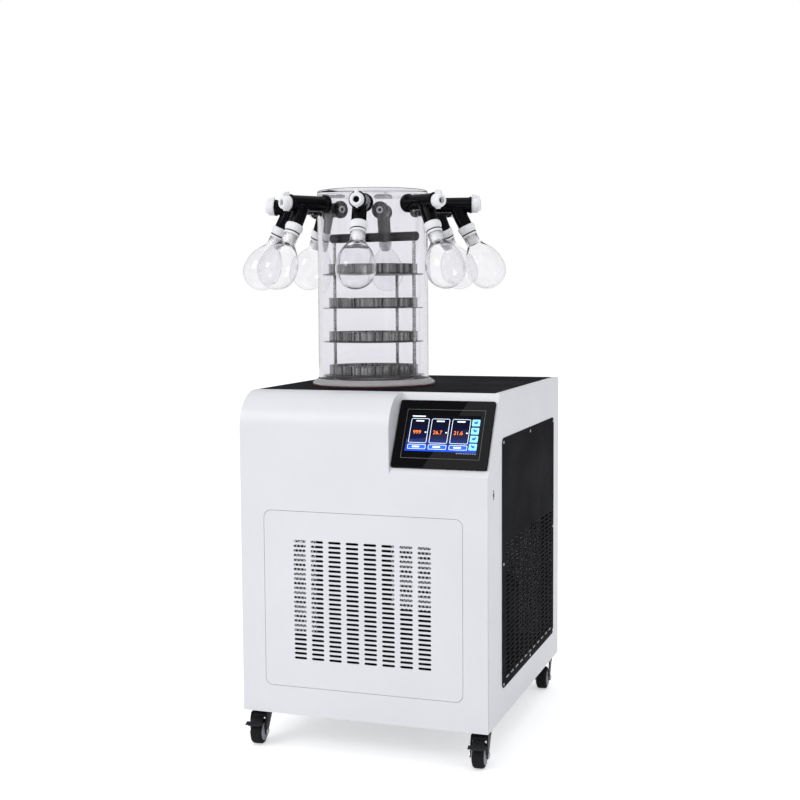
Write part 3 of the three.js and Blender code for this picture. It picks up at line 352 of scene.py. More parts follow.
def tintGroup():
    # slow drift between two colours, with a little fine speckle on top
    tree, given, result = startGroup(
        "softTint",
        [
            ("Light", "NodeSocketColor", (0.8, 0.8, 0.8, 1)),
            ("Dark", "NodeSocketColor", (0.7, 0.7, 0.7, 1)),
            ("Scale", "NodeSocketFloat", 6.0),
        ],
        [("Color", "NodeSocketColor")],
    )
    where = addNode(tree, "ShaderNodeTexCoord").outputs["Object"]
    slow = addNode(tree, "ShaderNodeTexNoise", {"Vector": where, "Scale": given["Scale"], "Detail": 5.0})
    share = rangeNode(tree, slow.outputs["Fac"], 0.35, 0.65)
    tree.links.new(mixTree(tree, share, given["Light"], given["Dark"]), result.inputs["Color"])
    return tree


def brushGroup():
    # brushing: noise drawn out along one direction by a scale for each axis, mixing two colours; where the
    # dark colour is near black, as on the trays, the streaks are painted reflection
    tree, given, result = startGroup(
        "brushed",
        [
            ("Spread", "NodeSocketVector", (900.0, 900.0, 8.0)),
            ("Low", "NodeSocketFloat", 0.2),
            ("High", "NodeSocketFloat", 0.4),
            ("Light", "NodeSocketColor", (0.6, 0.6, 0.6, 1)),
            ("Dark", "NodeSocketColor", (0.4, 0.4, 0.4, 1)),
            ("Height", "NodeSocketFloat", 0.1),
        ],
        [("Color", "NodeSocketColor"), ("Roughness", "NodeSocketFloat"), ("Normal", "NodeSocketVector")],
    )
    where = addNode(tree, "ShaderNodeTexCoord").outputs["Object"]
    drawn = addNode(
        tree, "ShaderNodeVectorMath", {0: where, 1: given["Spread"]}, operation="MULTIPLY"
    ).outputs["Vector"]
    lines = addNode(
        tree, "ShaderNodeTexNoise", {"Vector": drawn, "Scale": 1.0, "Detail": 4.0}
    ).outputs["Fac"]
    rough = rangeNode(tree, lines, 0.3, 0.7, given["Low"], given["High"])
    share = rangeNode(tree, lines, 0.35, 0.65)
    bump = addNode(
        tree, "ShaderNodeBump", {"Height": lines, "Strength": given["Height"], "Distance": 0.0002}
    )
    tree.links.new(mixTree(tree, share, given["Light"], given["Dark"]), result.inputs["Color"])
    tree.links.new(rough, result.inputs["Roughness"])
    tree.links.new(bump.outputs["Normal"], result.inputs["Normal"])
    return tree


grain, tint, brush = grainGroup(), tintGroup(), brushGroup()


def startMaterial(name, slot, **plain):
    material = bpy.data.materials.new(name)
    material.use_nodes = True
    material["slot"] = slot
    shader = material.node_tree.nodes["Principled BSDF"]
    for key, value in plain.items():
        shader.inputs[key].default_value = value
    return material, material.node_tree, shader


def colour(r, g, b):
    return (r, g, b, 1)


def linkSkin(tree, shader, skin):
    for key in ("Roughness", "Normal"):
        tree.links.new(skin[key], shader.inputs[key])


def placeGroup(tree, group, **values):
    node = tree.nodes.new("ShaderNodeGroup")
    node.node_tree = group
    for key, value in values.items():
        node.inputs[key].default_value = value
    return node.outputs


def grainyMaterial(
    name, slot, light, dark, low, high, scale=900.0, height=0.1, spread=6.0, clouds=9.0, **plain
):
    # painted, moulded and rubber surfaces: drifting colour, grain in the bump, drifting roughness
    material, tree, shader = startMaterial(name, slot, **plain)
    shade = placeGroup(tree, tint, Light=light, Dark=dark, Scale=spread)
    skin = placeGroup(tree, grain, Scale=scale, Height=height, Low=low, High=high, Clouds=clouds)
    tree.links.new(shade["Color"], shader.inputs["Base Color"])
    linkSkin(tree, shader, skin)
    return material


def brushedMaterial(name, slot, spread, light, dark, low, high, height=0.1):
    material, tree, shader = startMaterial(name, slot, Metallic=1.0)
    skin = placeGroup(tree, brush, Spread=spread, Light=light, Dark=dark, Low=low, High=high, Height=height)
    tree.links.new(skin["Color"], shader.inputs["Base Color"])
    linkSkin(tree, shader, skin)
    return material


def clearMaterial(name, slot, tone, ior, low, high, height, shadow):
    # clear material that lets the lamps through; faint waves and wipe marks in its gloss
    material, tree, shader = startMaterial(
        name, slot, **{"Base Color": tone, "IOR": ior, "Transmission Weight": 1.0}
    )
    skin = placeGroup(tree, grain, Scale=60.0, Height=height, Low=low, High=high, Clouds=30.0)
    linkSkin(tree, shader, skin)
    clear = addNode(tree, "ShaderNodeBsdfTransparent", {"Color": shadow})
    path = addNode(tree, "ShaderNodeLightPath")
    mix = addNode(tree, "ShaderNodeMixShader", {0: path.outputs["Is Shadow Ray"]})
    tree.links.new(shader.outputs["BSDF"], mix.inputs[1])
    tree.links.new(clear.outputs["BSDF"], mix.inputs[2])
    tree.links.new(mix.outputs["Shader"], tree.nodes["Material Output"].inputs["Surface"])
    return material


def lightMaterial(name, tone, strength):
    # lit part of the display, with a faint fine mottle in its colour
    material, tree, shader = startMaterial(
        name, "black_glass",
        **{"Roughness": 0.01, "Emission Strength": strength, "Specular IOR Level": 0.12}
    )
    shade = placeGroup(tree, tint, Light=tone, Dark=colour(*[c * 0.86 for c in tone[:3]]), Scale=900.0)
    tree.links.new(shade["Color"], shader.inputs["Emission Color"])
    tree.links.new(shade["Color"], shader.inputs["Base Color"])
    return material


whiteEnamel = grainyMaterial(
    "whiteEnamel", "white_enamel", colour(0.77, 0.77, 0.795), colour(
        0.745, 0.745, 0.77
    ), 0.3, 0.4, height=0.12
)
blackEnamel = grainyMaterial(
    "blackEnamel", "black_enamel", colour(0.0095, 0.0095, 0.012), colour(0.007, 0.007, 0.0095), 0.55, 0.7,
    scale=1400.0, height=0.35, **{"Specular IOR Level": 0.02},
)
blackGlass = grainyMaterial(
    "blackGlass", "black_glass", colour(0.002, 0.002, 0.003), colour(0.0015, 0.0015, 0.002), 0.0, 0.012,
    scale=80.0, height=0.0, **{"Specular IOR Level": 0.12},
)
greyLine = grainyMaterial(
    "greyLine", "black_glass", colour(0.1, 0.1, 0.1), colour(0.08, 0.08, 0.08), 0.3, 0.4
)
blackRubber = grainyMaterial(
    "blackRubber", "black_rubber", colour(0.003, 0.003, 0.004), colour(0.002, 0.002, 0.003), 0.14, 0.24,
    scale=500.0, height=0.1, **{"Specular IOR Level": 0.08},
)
redRubber = grainyMaterial(
    "redRubber", "red_rubber", colour(0.11, 0.013, 0.012), colour(0.08, 0.01, 0.01), 0.45, 0.6
)
whitePlastic = grainyMaterial(
    "whitePlastic", "white_plastic", colour(
        0.86, 0.86, 0.875
    ), colour(0.82, 0.82, 0.84), 0.3, 0.42, scale=700.0
)
milkyPlastic = grainyMaterial(
    "milkyPlastic", "white_plastic", colour(0.94, 0.94, 0.95), colour(0.91, 0.91, 0.925), 0.25, 0.4,
    scale=300.0, **{"Transmission Weight": 0.08, "IOR": 1.3},
)
darkPlastic = grainyMaterial(
    "darkPlastic", "dark_plastic", colour(0.022, 0.022, 0.025), colour(0.016, 0.016, 0.019), 0.32, 0.46,
    scale=800.0, height=0.2, **{"Specular IOR Level": 0.16},
)
tyreRubber = grainyMaterial(
    "tyreRubber", "tyre_rubber", colour(
        0.012, 0.012, 0.014
    ), colour(0.007, 0.007, 0.009), 0.5, 0.75, scale=1200.0, height=0.5,
    **{"Specular IOR Level": 0.15},
)
forkEnamel = grainyMaterial(
    "forkEnamel", "black_enamel", colour(0.007, 0.007, 0.008), colour(0.004, 0.004, 0.005), 0.3, 0.42,
    scale=900.0, height=0.25, **{"Specular IOR Level": 0.2},
)
rimPlastic = grainyMaterial(
    "rimPlastic", "white_plastic", colour(0.36, 0.36, 0.4), colour(0.3, 0.3, 0.33), 0.4, 0.55
)
foamSkin = grainyMaterial(
    "foamSkin", "foam", colour(0.05, 0.05, 0.05), colour(0.03, 0.03, 0.03), 0.7, 0.9, scale=300.0,
    height=0.8
)
# tray steel: its streaks run up the walls from mid grey to near black, painted reflections laid over the
# brushing
traySteel = brushedMaterial(
    "traySteel", "stainless", (190.0, 190.0, 4.0), colour(0.34, 0.33, 0.315), colour(
        0.006, 0.006, 0.005
    ), 0.16, 0.32, 0.25
)
plainSteel = brushedMaterial(
    "plainSteel", "stainless", (
        60.0, 60.0, 400.0
    ), colour(0.46, 0.455, 0.45), colour(0.3, 0.295, 0.29), 0.2, 0.36
)
zincPlate = brushedMaterial(
    "zincPlate", "zinc", (70.0, 70.0, 70.0), colour(0.6, 0.61, 0.63), colour(0.45, 0.46, 0.48), 0.28, 0.5
)
# condenser fins in near black: painted shade, so the slots in front of them read dark
shadeDarkFins = brushedMaterial(
    "shadeDarkFins", "zinc", (20.0, 20.0, 900.0), colour(0.03, 0.03, 0.032), colour(0.015, 0.015, 0.016), 0.4,
    0.6
)
boltSteel = brushedMaterial(
    "boltSteel", "zinc", (
        900.0, 900.0, 900.0
    ), colour(0.75, 0.75, 0.76), colour(0.55, 0.55, 0.56), 0.2, 0.35
)
acrylic = clearMaterial(
    "clearAcrylic", "clear_acrylic", colour(
        0.9, 0.895, 0.925
    ), 1.4, 0.0, 0.03, 0.0, colour(0.96, 0.96, 0.97)
)
frosted = grainyMaterial(
    "frostedAcrylic", "clear_acrylic", colour(0.97, 0.95, 0.965), colour(0.92, 0.9, 0.915), 0.04, 0.12,
    scale=60.0, height=0.2, **{"Transmission Weight": 0.62, "IOR": 1.45},
)
glass = clearMaterial(
    "clearGlass", "clear_glass", colour(
        0.955, 0.955, 0.965
    ), 1.33, 0.0, 0.02, 0.02, colour(0.97, 0.97, 0.98)
)
print("materials made")


# cabinet shell: one skin of flat faces and rolled strips, thickened inwards
touchPanel = {
    "width": 187.0, "height": 139.0, "radius": 4.0, "front": 5.3, "edge": 1.2,
    "gap": 1.8,  # from the step's side
    "foot": 13.5,  # up the slope from its lower edge
    "screenWidth": 153.4, "screenHeight": 100.4, "housing": (158, 106, 34),
}
cabinet = {
    "shoulder": 307.0,  # width of the raised front
    "shoulderRadius": 70.0,
    "setback": 84.5,  # the sloping face leans back this far over its drop
    "drop": 149.0,
    "rearRadius": 12.0,
    "cornerEdge": 4.0,  # widest bevel; the weights below are shares of it
    "sheet": 2.0,
    "ledge": 10.0,
    "flatArea": 600.0,  # a flat face wider than this, in square mm, is shaded dead flat
}
stepX = left + cabinet["shoulder"]
facetFoot = top - cabinet["drop"]
facetBack = front + cabinet["setback"]
rollBack = front + cabinet["shoulderRadius"]
rollFoot = top - cabinet["shoulderRadius"]
lean = math.atan2(cabinet["setback"], cabinet["drop"])
frontFace = frameOf((0, front, 0), (1, 0, 0), (0, 0, 1))
rightFace = frameOf((right, 0, 0), (0, 1, 0), (0, 0, 1))
leftFace = frameOf((left, 0, 0), (0, -1, 0), (0, 0, 1))
rearFace = frameOf((0, rear, 0), (-1, 0, 0), (0, 0, 1))
topFace = frameOf((0, 0, top), (1, 0, 0), (0, 1, 0))
facetFace = frameOf((0, front, facetFoot), (1, 0, 0), (0, math.sin(lean), math.cos(lean)))
slope = math.hypot(cabinet["setback"], cabinet["drop"])


def arcPoints(x, y, radius, start, end, steps):
    a = np.radians(np.linspace(start, end, steps + 1))
    return np.stack([x + radius * np.cos(a), y + radius * np.sin(a)], 1)


def flatFace(outline, holes, place):
    # one flat face with its windows, as triangles; those that fill a window are left out
    loops = [np.asarray(outline, float)] + [np.asarray(h, float) for h in holes]
    after = np.concatenate(
        [
            n + np.roll(np.arange(len(loop)), -1)
            for n, loop in zip(np.cumsum([0] + [len(i) for i in loops]), loops)
        ]
    )
    owner = np.concatenate([np.full(len(loop), i) for i, loop in enumerate(loops)])
    flat = np.concatenate(loops)
    edges = np.stack([np.arange(len(flat)), after], 1).tolist()
    faces = np.array(delaunay_2d_cdt([Vector(p) for p in flat], edges, [], 1, 1e-6)[2])
    corners = owner[faces]
    faces = faces[
        ~((corners[:, 0] == corners[:, 1]) & (corners[:, 1] == corners[:, 2]) & (corners[:, 0] > 0))
    ]
    return moved(np.column_stack([flat, np.zeros(len(flat))]), place), faces


def rolled(arc, xs):
    # strip of a bent edge: point(i, j) = (x_j, y_i, z_i)
    points = np.stack(
        [
            np.broadcast_to(xs, (len(arc), len(xs))), np.repeat(arc[:, :1], len(xs), 1),
            np.repeat(arc[:, 1:], len(xs), 1)
        ],
        -1
    )
    return points.reshape(-1, 3), gridFaces(len(arc), len(xs))


def windowOf(node, axes, grow, radius, flip=False):
    # outline of a node's box seen square on, grown all round
    low, high = boxOf(node)
    a, b = axes
    lowA, highA = (-high[a], -low[a]) if flip else (low[a], high[a])
    width, height = highA - lowA + 2 * grow, high[b] - low[b] + 2 * grow
    return roundedBox(width, height, radius, (lowA + highA) / 2, (low[b] + high[b]) / 2)


displayX = stepX + touchPanel["gap"] + touchPanel["width"] / 2
displayY = touchPanel["foot"] + touchPanel["height"] / 2
serviceWindow = windowOf("service_panel", (0, 2), 0.7, 14.7)
rightWindow = windowOf("vent_cover_right", (1, 2), -16, 4)
leftWindow = windowOf("vent_cover_left", (1, 2), -16, 4, True)
rearWindow = windowOf("rear_panel", (0, 2), -14, 4, True)
topWindow = windowOf("top_plate", (0, 1), 0.3, 0.5)
portMiddle = sum(boxOf("usb_port")) / 2
dataWindow = roundedBox(5.6, 14.6, 1, portMiddle[1], portMiddle[2])
displayWindow = roundedBox(158.6, 106.6, 1, displayX, displayY)
shoulderArc = arcPoints(rollBack, rollFoot, cabinet["shoulderRadius"], 180, 90, 20)
rearArc = arcPoints(
    rear - cabinet["rearRadius"], top - cabinet["rearRadius"], cabinet["rearRadius"], 0, 90, 8
)
sideRight = np.concatenate(
    [[(front, bottom), (rear, bottom)], rearArc, [(facetBack, top), (front, facetFoot)]]
)
sideLeft = np.concatenate([[(rear, bottom), (front, bottom)], shoulderArc, rearArc[::-1]]) * (-1, 1)
stepSide = np.concatenate([[(front, facetFoot), (facetBack, top)], shoulderArc[::-1]])
rollEdge = rear - cabinet["rearRadius"]
skin = [
    flatFace(
        [
            (left, bottom), (right, bottom), (right, facetFoot), (stepX, facetFoot), (stepX, rollFoot),
            (left, rollFoot)
        ],
        [serviceWindow], frontFace
    ),
    flatFace(sideRight, [rightWindow, dataWindow], rightFace),
    flatFace(sideLeft, [leftWindow], leftFace),
    flatFace(stepSide, [], frameOf((stepX, 0, 0), (0, 1, 0), (0, 0, 1))),
    flatFace([(stepX, 0), (right, 0), (right, slope), (stepX, slope)], [displayWindow], facetFace),
    flatFace(
        [
            (left, rollBack), (stepX, rollBack), (stepX, facetBack), (right, facetBack), (right, rollEdge),
            (left, rollEdge)
        ],
        [topWindow], topFace
    ),
    flatFace(
        [(-right, bottom), (-left, bottom), (-left, rearArc[0, 1]), (-right, rearArc[0, 1])], [rearWindow],
        rearFace
    ),
    rolled(shoulderArc, [left, stepX]),
    rolled(rearArc, [right, left]),
]


def shellWeights(a, b):
    # share of the widest bevel for each edge, from where its two ends lie
    def both(axis, value):
        return (np.abs(a[:, axis] - value) < 0.01) & (np.abs(b[:, axis] - value) < 0.01)

    upright = np.abs(a[:, 2] - b[:, 2]) > 1
    slanting = upright & (np.abs(a[:, 1] - b[:, 1]) > 1) & (np.minimum(a[:, 1], b[:, 1]) < front + 0.1)
    weight = np.zeros(len(a))
    side = both(0, left) | both(0, right) | both(0, stepX)
    weight[side & both(2, top)] = 0.3
    weight[side & ~both(1, front) & ~both(1, rear) & ~both(2, top) & ~both(2, bottom)] = 0.3
    weight[(both(0, left) | both(0, right)) & both(1, rear) & upright] = 0.3
    weight[both(0, left) & both(1, front) & upright] = 0.3
    weight[both(0, right) & both(1, front) & upright] = 0.7
    weight[both(0, right) & slanting] = 0.7
    weight[both(0, stepX) & both(1, front) & upright] = 0.3
    weight[both(1, front) & both(2, facetFoot)] = 0.7
    weight[both(1, facetBack) & both(2, top) & (np.maximum(a[:, 0], b[:, 0]) > stepX + 1)] = 0.15
    lowEnd, highEnd = np.minimum(a[:, 1], b[:, 1]), np.maximum(a[:, 1], b[:, 1])
    facet = both(0, stepX) & (np.abs(lowEnd - front) < 0.01) & (np.abs(highEnd - facetBack) < 0.01)
    weight[facet] = 0
    return weight


def buildShell():
    piece = makePiece("casing", skin, [whiteEnamel, insideShade], ["cabinet_shell"], smooth=20)
    mesh = piece.data
    # leaves each flat face as few faces as its windows allow
    work = bmesh.new()
    work.from_mesh(mesh)
    bmesh.ops.dissolve_limit(work, angle_limit=math.radians(0.5), verts=work.verts, edges=work.edges)
    work.to_mesh(mesh)
    work.free()
    ends = (readRows(mesh.vertices, "co") / mm)[readRows(mesh.edges, "vertices", 2)]
    faceCount = np.zeros(len(mesh.edges), int)
    lookup = {edge.key: edge.index for edge in mesh.edges}
    for polygon in mesh.polygons:
        for key in polygon.edge_keys:
            faceCount[lookup[key]] += 1
    weight = np.where(faceCount == 2, shellWeights(ends[:, 0], ends[:, 1]), 0)
    mesh.attributes.new("bevel_weight_edge", "FLOAT", "EDGE").data.foreach_set("value", weight)
    bevel = piece.modifiers.new("edges", "BEVEL")
    bevel.width, bevel.segments, bevel.limit_method = cabinet["cornerEdge"] * mm, 4, "WEIGHT"
    bevel.use_clamp_overlap = False
    wall = piece.modifiers.new("wall", "SOLIDIFY")
    # the inside faces of the sheet take the second material, which is near-black painted shade
    wall.thickness, wall.offset, wall.material_offset = cabinet["sheet"] * mm, -1, 1
    evenNormals(piece)
    settle(piece, (left, front, bottom), (right, rear, top), cabinet["flatArea"])


def settle(piece, low, high, flatArea):
    # makes what the modifiers give the piece's own mesh, holds every point inside the cabinet's box,
    # and gives each corner of a broad flat face that face's own normal
    mesh = bpy.data.meshes.new_from_object(piece.evaluated_get(bpy.context.evaluated_depsgraph_get()))
    piece.modifiers.clear()
    points = np.clip(readRows(mesh.vertices, "co"), np.array(low) * mm, np.array(high) * mm)
    mesh.vertices.foreach_set("co", points.ravel())
    mesh.update()
    counts = readRows(mesh.polygons, "loop_total", 1)[:, 0]
    flat = np.repeat(readRows(mesh.polygons, "area", 1) > flatArea * mm ** 2, counts, 0)
    faceNormals = np.repeat(readRows(mesh.polygons, "normal"), counts, 0)
    corners = np.where(flat, faceNormals, readRows(mesh.corner_normals, "vector"))
    mesh.normals_split_custom_set(corners.tolist())
    piece.data = mesh


def ledgeRing(outer, inner, depth, place):
    return plate(outer, [inner[::-1][None]], -depth - 2, -depth, place, 0.4)


# white enamel painted near black: painted shade for the inside of the cabinet and the ledges behind its
# windows
insideShade = grainyMaterial(
    "insideShade", "white_enamel", colour(0.05, 0.05, 0.052), colour(0.035, 0.035, 0.036), 0.5, 0.6
)
buildShell()
ledge = cabinet["ledge"]
# ledges behind the service panel and the top plate, in the painted shade of the inside
makePiece(
    "panel_ledges",
    [
        ledgeRing(
            windowOf("service_panel", (0, 2), 4, 18), windowOf("service_panel", (0, 2), -ledge, 6), 2.3,
            frontFace
        ),
        ledgeRing(
            windowOf("top_plate", (0, 1), 1.5, 1), windowOf("top_plate", (0, 1), -ledge, 2), 3.3, topFace
        ),
    ],
    insideShade,
)
print("casing made")


# front panel with its slots, and the wire guard behind them
servicePanel = {
    "columns": 8, "rows": 26, "pitchX": 36.0, "pitchZ": 9.15, "length": 26.0, "height": 4.8,
    "edge": 0.25, "guardWire": 0.9, "guardX": 7.4, "guardZ": 7.2, "guardDrop": 54, "guardDepth": 3.0,
}


def buildPortPins():
    y, z = portMiddle[1:]
    pins = [
        turned(
            rounded([(0, -1.5), (1.4, -1.5), (1.4, 0.9, 0.2), (1.0, 1.1, 0.2), (0, 1.1)], 3, False),
            rightFace @ turnedFrame(y, z + lift, 0, 0), 24
        )
        for lift in (-7.1, 7.1)
    ]
    rim = plate(roundedBox(5.5, 14.5, 1, y, z), [], -1.4, 0.05, rightFace, 0.1)
    plug = plate(roundedBox(5.0, 8.2, 1.2, y, z), [], -0.5, 1.0, rightFace, 0.3)
    makePiece("port_rim", [rim, (*plug, 1)], [whiteEnamel, blackRubber])
    makePiece("port_pins", pins, blackRubber)


buildPortPins()


def buildServicePanel():
    low, high = boxOf("service_panel")
    x, z = (low[0] + high[0]) / 2, (low[2] + high[2]) / 2
    p = servicePanel
    slots = holesAt(
        gridCentres(p["columns"], p["rows"], p["pitchX"], p["pitchZ"], x, z),
        slotLoop(p["length"], p["height"], 4)
    )
    face = plate(windowOf("service_panel", (0, 2), 0, 14), [slots], -1.7, 0.0, frontFace, p["edge"])
    evenNormals(makePiece("service_panel_face", [face], whiteEnamel, ["service_panel"]))


buildServicePanel()


guardWire = grainyMaterial("guardWire", "zinc", colour(0.9, 0.9, 0.91), colour(0.8, 0.8, 0.82), 0.3, 0.45)


def zigzagGuard(lowX, highX, lowZ, highZ, depth):
    # wires of a diamond mesh: z = row z + half pitch * (-1)^(i + row), each wire a flat ribbon
    p = servicePanel
    rows, columns = int((highZ - lowZ) / p["guardZ"]), int((highX - lowX) / (p["guardX"] / 2)) + 1
    i = np.arange(columns)
    parts = []
    for row in range(rows):
        x = lowX + i * p["guardX"] / 2
        z = highZ - row * p["guardZ"] + p["guardZ"] / 2 * np.where(
            (i + row) % 2 == 0, 0.92, -0.92
        ) - p["guardZ"] / 2
        ribbon = np.stack(
            [np.stack([x, np.full(len(i), front + depth), z + s * p["guardWire"]], 1) for s in (-1, 1)]
        )
        parts.append((ribbon.reshape(-1, 3), gridFaces(2, columns)))
    return parts


def buildGuard():
    low, high = boxOf("service_panel")
    guardTop, depth = high[2] - servicePanel["guardDrop"], servicePanel["guardDepth"]
    rightWires = zigzagGuard(high[0] - 140, high[0] - 6, high[2] - 182, guardTop, depth)
    leftWires = zigzagGuard(low[0] + 8, low[0] + 108, high[2] - 240, guardTop, depth)
    piece = makePiece("wire_guard", rightWires + leftWires, guardWire)
    wall = piece.modifiers.new("wire", "SOLIDIFY")
    wall.thickness, wall.offset = 0.8 * mm, 1


buildGuard()
print("front panel made")


# vent covers with their slots and screws
ventCover = {
    "columns": 11, "rows": 30, "pitchY": 37.6, "pitchZ": 9.0, "length": 26.0, "height": 3.4, "edge": 0.6,
    "screw": 3.0, "proud": 1.0
}


def crossLoop(radius, arm, count=24):
    # cross recess: the ray at each angle ends on the nearer of the two crossing bars' sides
    a = np.linspace(0, 2 * math.pi, count, endpoint=False) + math.pi / count
    reach = np.minimum(
        radius / np.maximum(np.abs(np.cos(a)), np.abs(np.sin(a))),
        arm / np.minimum(np.abs(np.cos(a)), np.abs(np.sin(a)))
    )
    return np.stack([reach * np.cos(a), reach * np.sin(a)], 1)


def screwHead(radius, place, height=1.4):
    # domed head: a ring that climbs to the recess, and the recess's floor
    count = 24
    ring = circleLoop(radius, count=count)
    recess = crossLoop(radius * 0.55, radius * 0.16, count)
    levels = [
        (ring, 0.0), (ring * 0.99, height * 0.45), (ring * 0.86, height * 0.85),
        (ring * 0.62 + recess * 0.1, height), (recess, height), (recess * 0.9, height * 0.35)
    ]
    points = np.concatenate(
        [np.column_stack([xy, np.full(count, z)]) for xy, z in levels] + [[(0, 0, height * 0.35)]]
    )
    last = (len(levels) - 1) * count
    fan = [[last + i, last + (i + 1) % count, len(points) - 1] for i in range(count)]
    return moved(points, place), gridFaces(len(levels), count, False, True).tolist() + fan


def buildVentCover(side):
    name = f"vent_cover_{side}"
    low, high = boxOf(name)
    flip = side == "left"
    face = frameOf((low[0] if flip else high[0], 0, 0), (0, -1 if flip else 1, 0), (0, 0, 1))
    p = ventCover
    middle = (low + high) / 2
    y = -middle[1] if flip else middle[1]
    slotsAt = gridCentres(
        p["columns"], p["rows"], p["pitchY"], p["pitchZ"], y + (-5 if flip else 5),
        low[2] + 15 + p["pitchZ"] * (p["rows"] - 1) / 2
    )
    slots = holesAt(slotsAt, slotLoop(p["length"], p["height"], 3))
    halfY, halfZ = (high[1] - low[1]) / 2 - 8, (high[2] - low[2]) / 2 - 8
    cover = plate(windowOf(name, (1, 2), 0, 12, flip), [slots], -2.0, -p["proud"], face, p["edge"])
    evenNormals(makePiece(f"{name}_plate", [cover], blackEnamel, [name]))
    spots = [
        (y + u * halfY, middle[2] + v * halfZ) for u in (-1, 0, 1) for v in (-1, 0, 1) if (u, v) != (0, 0)
    ]
    screwPlaces = [face @ turnedFrame(u, v, -p["proud"], 25 * i) for i, (u, v) in enumerate(spots)]
    makePiece(
        f"{name}_screws", [screwHead(p["screw"], place, p["proud"]) for place in screwPlaces], boltSteel
    )


buildVentCover("left")
buildVentCover("right")
print("side covers made")


# top plate
def buildTopPlate():
    low, high = boxOf("top_plate")
    hole = circleLoop(102.3, axisX, axisY, 96)[::-1][None]
    evenNormals(
        makePiece(
            "top_cover", [plate(windowOf("top_plate", (0, 1), 0, 1.2), [hole], -2.7, 0, topFace, 0.5)],
            blackEnamel, ["top_plate"]
        )
    )


buildTopPlate()


# touch panel
def buildTouchPanel():
    # one flat glass with a thin grey line round the screen; the housing behind it goes into the cabinet
    p = touchPanel
    glassTop = p["front"] - 0.3
    outline = roundedBox(p["width"], p["height"], p["radius"], displayX, displayY)
    pane = plate(outline, [], 0.3, glassTop, facetFace, p["edge"], 0.3, 4)
    inner = roundedBox(p["screenWidth"] - 1.7, p["screenHeight"] - 1.7, 1, displayX, displayY)[::-1][None]
    line = plate(
        roundedBox(p["screenWidth"], p["screenHeight"], 1.2, displayX, displayY), [inner], glassTop - 0.1,
        glassTop + 0.05, facetFace, 0.02
    )
    housing = boxParts(*p["housing"], facetFace, 1, displayX, displayY, -p["housing"][2])
    piece = makePiece(
        "touch_panel_glass", [pane, (*line, 1), (*housing, 2)], [blackGlass, greyLine, darkPlastic],
        ["touch_panel"]
    )
    evenNormals(piece)


buildTouchPanel()
print("display made")


# seal, guide ring and clear chamber
chamber = {
    "radius": 114.0, "wall": 5.0, "height": 395.5, "lid": 9.0, "lidEdge": 2.5,
    "flange": 127.0, "foot": 3.0, "flangeHeight": 11.0, "portHeight": 364.5,
}
sealTop = sealHigh[2]
axisFoot = frameOf((axisX, axisY, 0), (1, 0, 0), (0, 1, 0))


def buildChamber():
    c = chamber
    seal = rounded(
        [(103.9, sealLow[2], 0.6), (127.5, sealLow[2], 0.8), (127.5, sealTop, 0.8), (103.9, sealTop, 0.6)],
        4, True
    )
    makePiece("ring_seal", [turned(seal, axisFoot, 128)], redRubber, ["chamber_seal"])
    z = sealTop
    inner, outer, lid = c["radius"] - c["wall"], c["radius"], z + c["height"]
    profile = rounded(
        [
            (inner, z, 0.5), (c["flange"], z, 0.6), (c["flange"], z + c["foot"], 1.2), (
                outer + 2.2, z + c["flangeHeight"], 1.5
            ),
            (
                outer, z + c["flangeHeight"] + 2.4, 1.2
            ), (outer, lid, c["lidEdge"]), (0, lid), (0, lid - c["lid"]),
            (inner, lid - c["lid"], 1.5),
        ], 6, True,
    )
    start = next(i for i, p in enumerate(profile) if p[0] == 0 and abs(p[1] - (lid - c["lid"])) < 0.01)
    profile = np.roll(profile, -start, 0)
    onFlange = (profile[:, 1] < z + c["flangeHeight"] + 1.5) & (profile[:, 0] > inner + 1)
    frostedFaces = np.repeat((onFlange[:-1] & onFlange[1:]).astype(int), 160)
    makePiece(
        "clear_chamber", [(*turned(profile, axisFoot, 160), frostedFaces)], [acrylic, frosted],
        ["drying_chamber"]
    )


buildChamber()
print("chamber made")


# manifold valves: in a valve's frame x runs outwards from the chamber's axis and z is up
valve = {
    "start": 114.4, "reach": 205.0, "radius": 15.5, "collar": 18.5, "lip": 17.0,
    "branchAt": 171.0, "tilt": 26.0, "branch": 14.6, "branchLength": 47.0,
    "knob": 14.1, "knobLength": 18.5, "bulb": 39.1, "shoulder": 57.6, "bulbAt": 147.0,
    "glass": 0.9, "mouth": 70.3, "neckFoot": 84.0,
}
outwards = frameOf((0, 0, 0), (0, 1, 0), (0, 0, 1))
upright = frameOf((0, 0, 0), (1, 0, 0), (0, 0, 1))
tilt = math.radians(valve["tilt"])
downBranch = frameOf((valve["branchAt"], 0, 0), (0, 1, 0), (math.cos(tilt), 0, math.sin(tilt)))


def valveFrame(port):
    outward = jointNamed(f"valve_knob_{port}_turn")[1]
    return frameOf((axisX, axisY, portZ), outward, np.cross((0, 0, 1), outward))


def branchSurface():
    # the branch's tube: its rings are square to it at the far end and follow the valve's round side
    # at the root, where height(a) = (R_branch cos a sin t + sqrt(R_valve^2 - (R_branch sin a)^2)) / cos t
    v = valve
    profile = rounded(
        [
            (0, -1.5), (v["branch"] + 0.7, -1.5), (v["branch"] + 0.7, 0), (v["branch"], 6, 8),
            (v["branch"], 47, 1.0), (0, 47)
        ],
        6, False
    )
    points, faces = turned(profile, segments=72)
    around = np.arctan2(points[:, 0], points[:, 1])
    side = np.minimum(np.hypot(points[:, 0], points[:, 1]), v["branch"])
    root = (
        side * np.cos(around) * math.sin(tilt) + np.sqrt(v["radius"] ** 2 - (side * np.sin(around)) ** 2)
    ) / math.cos(tilt)
    share = np.clip(points[:, 2] / v["branchLength"], -1, 1)
    points[:, 2] = np.where(share < 0, root + points[:, 2], root + (v["branchLength"] - root) * share)
    return moved(points, downBranch), faces


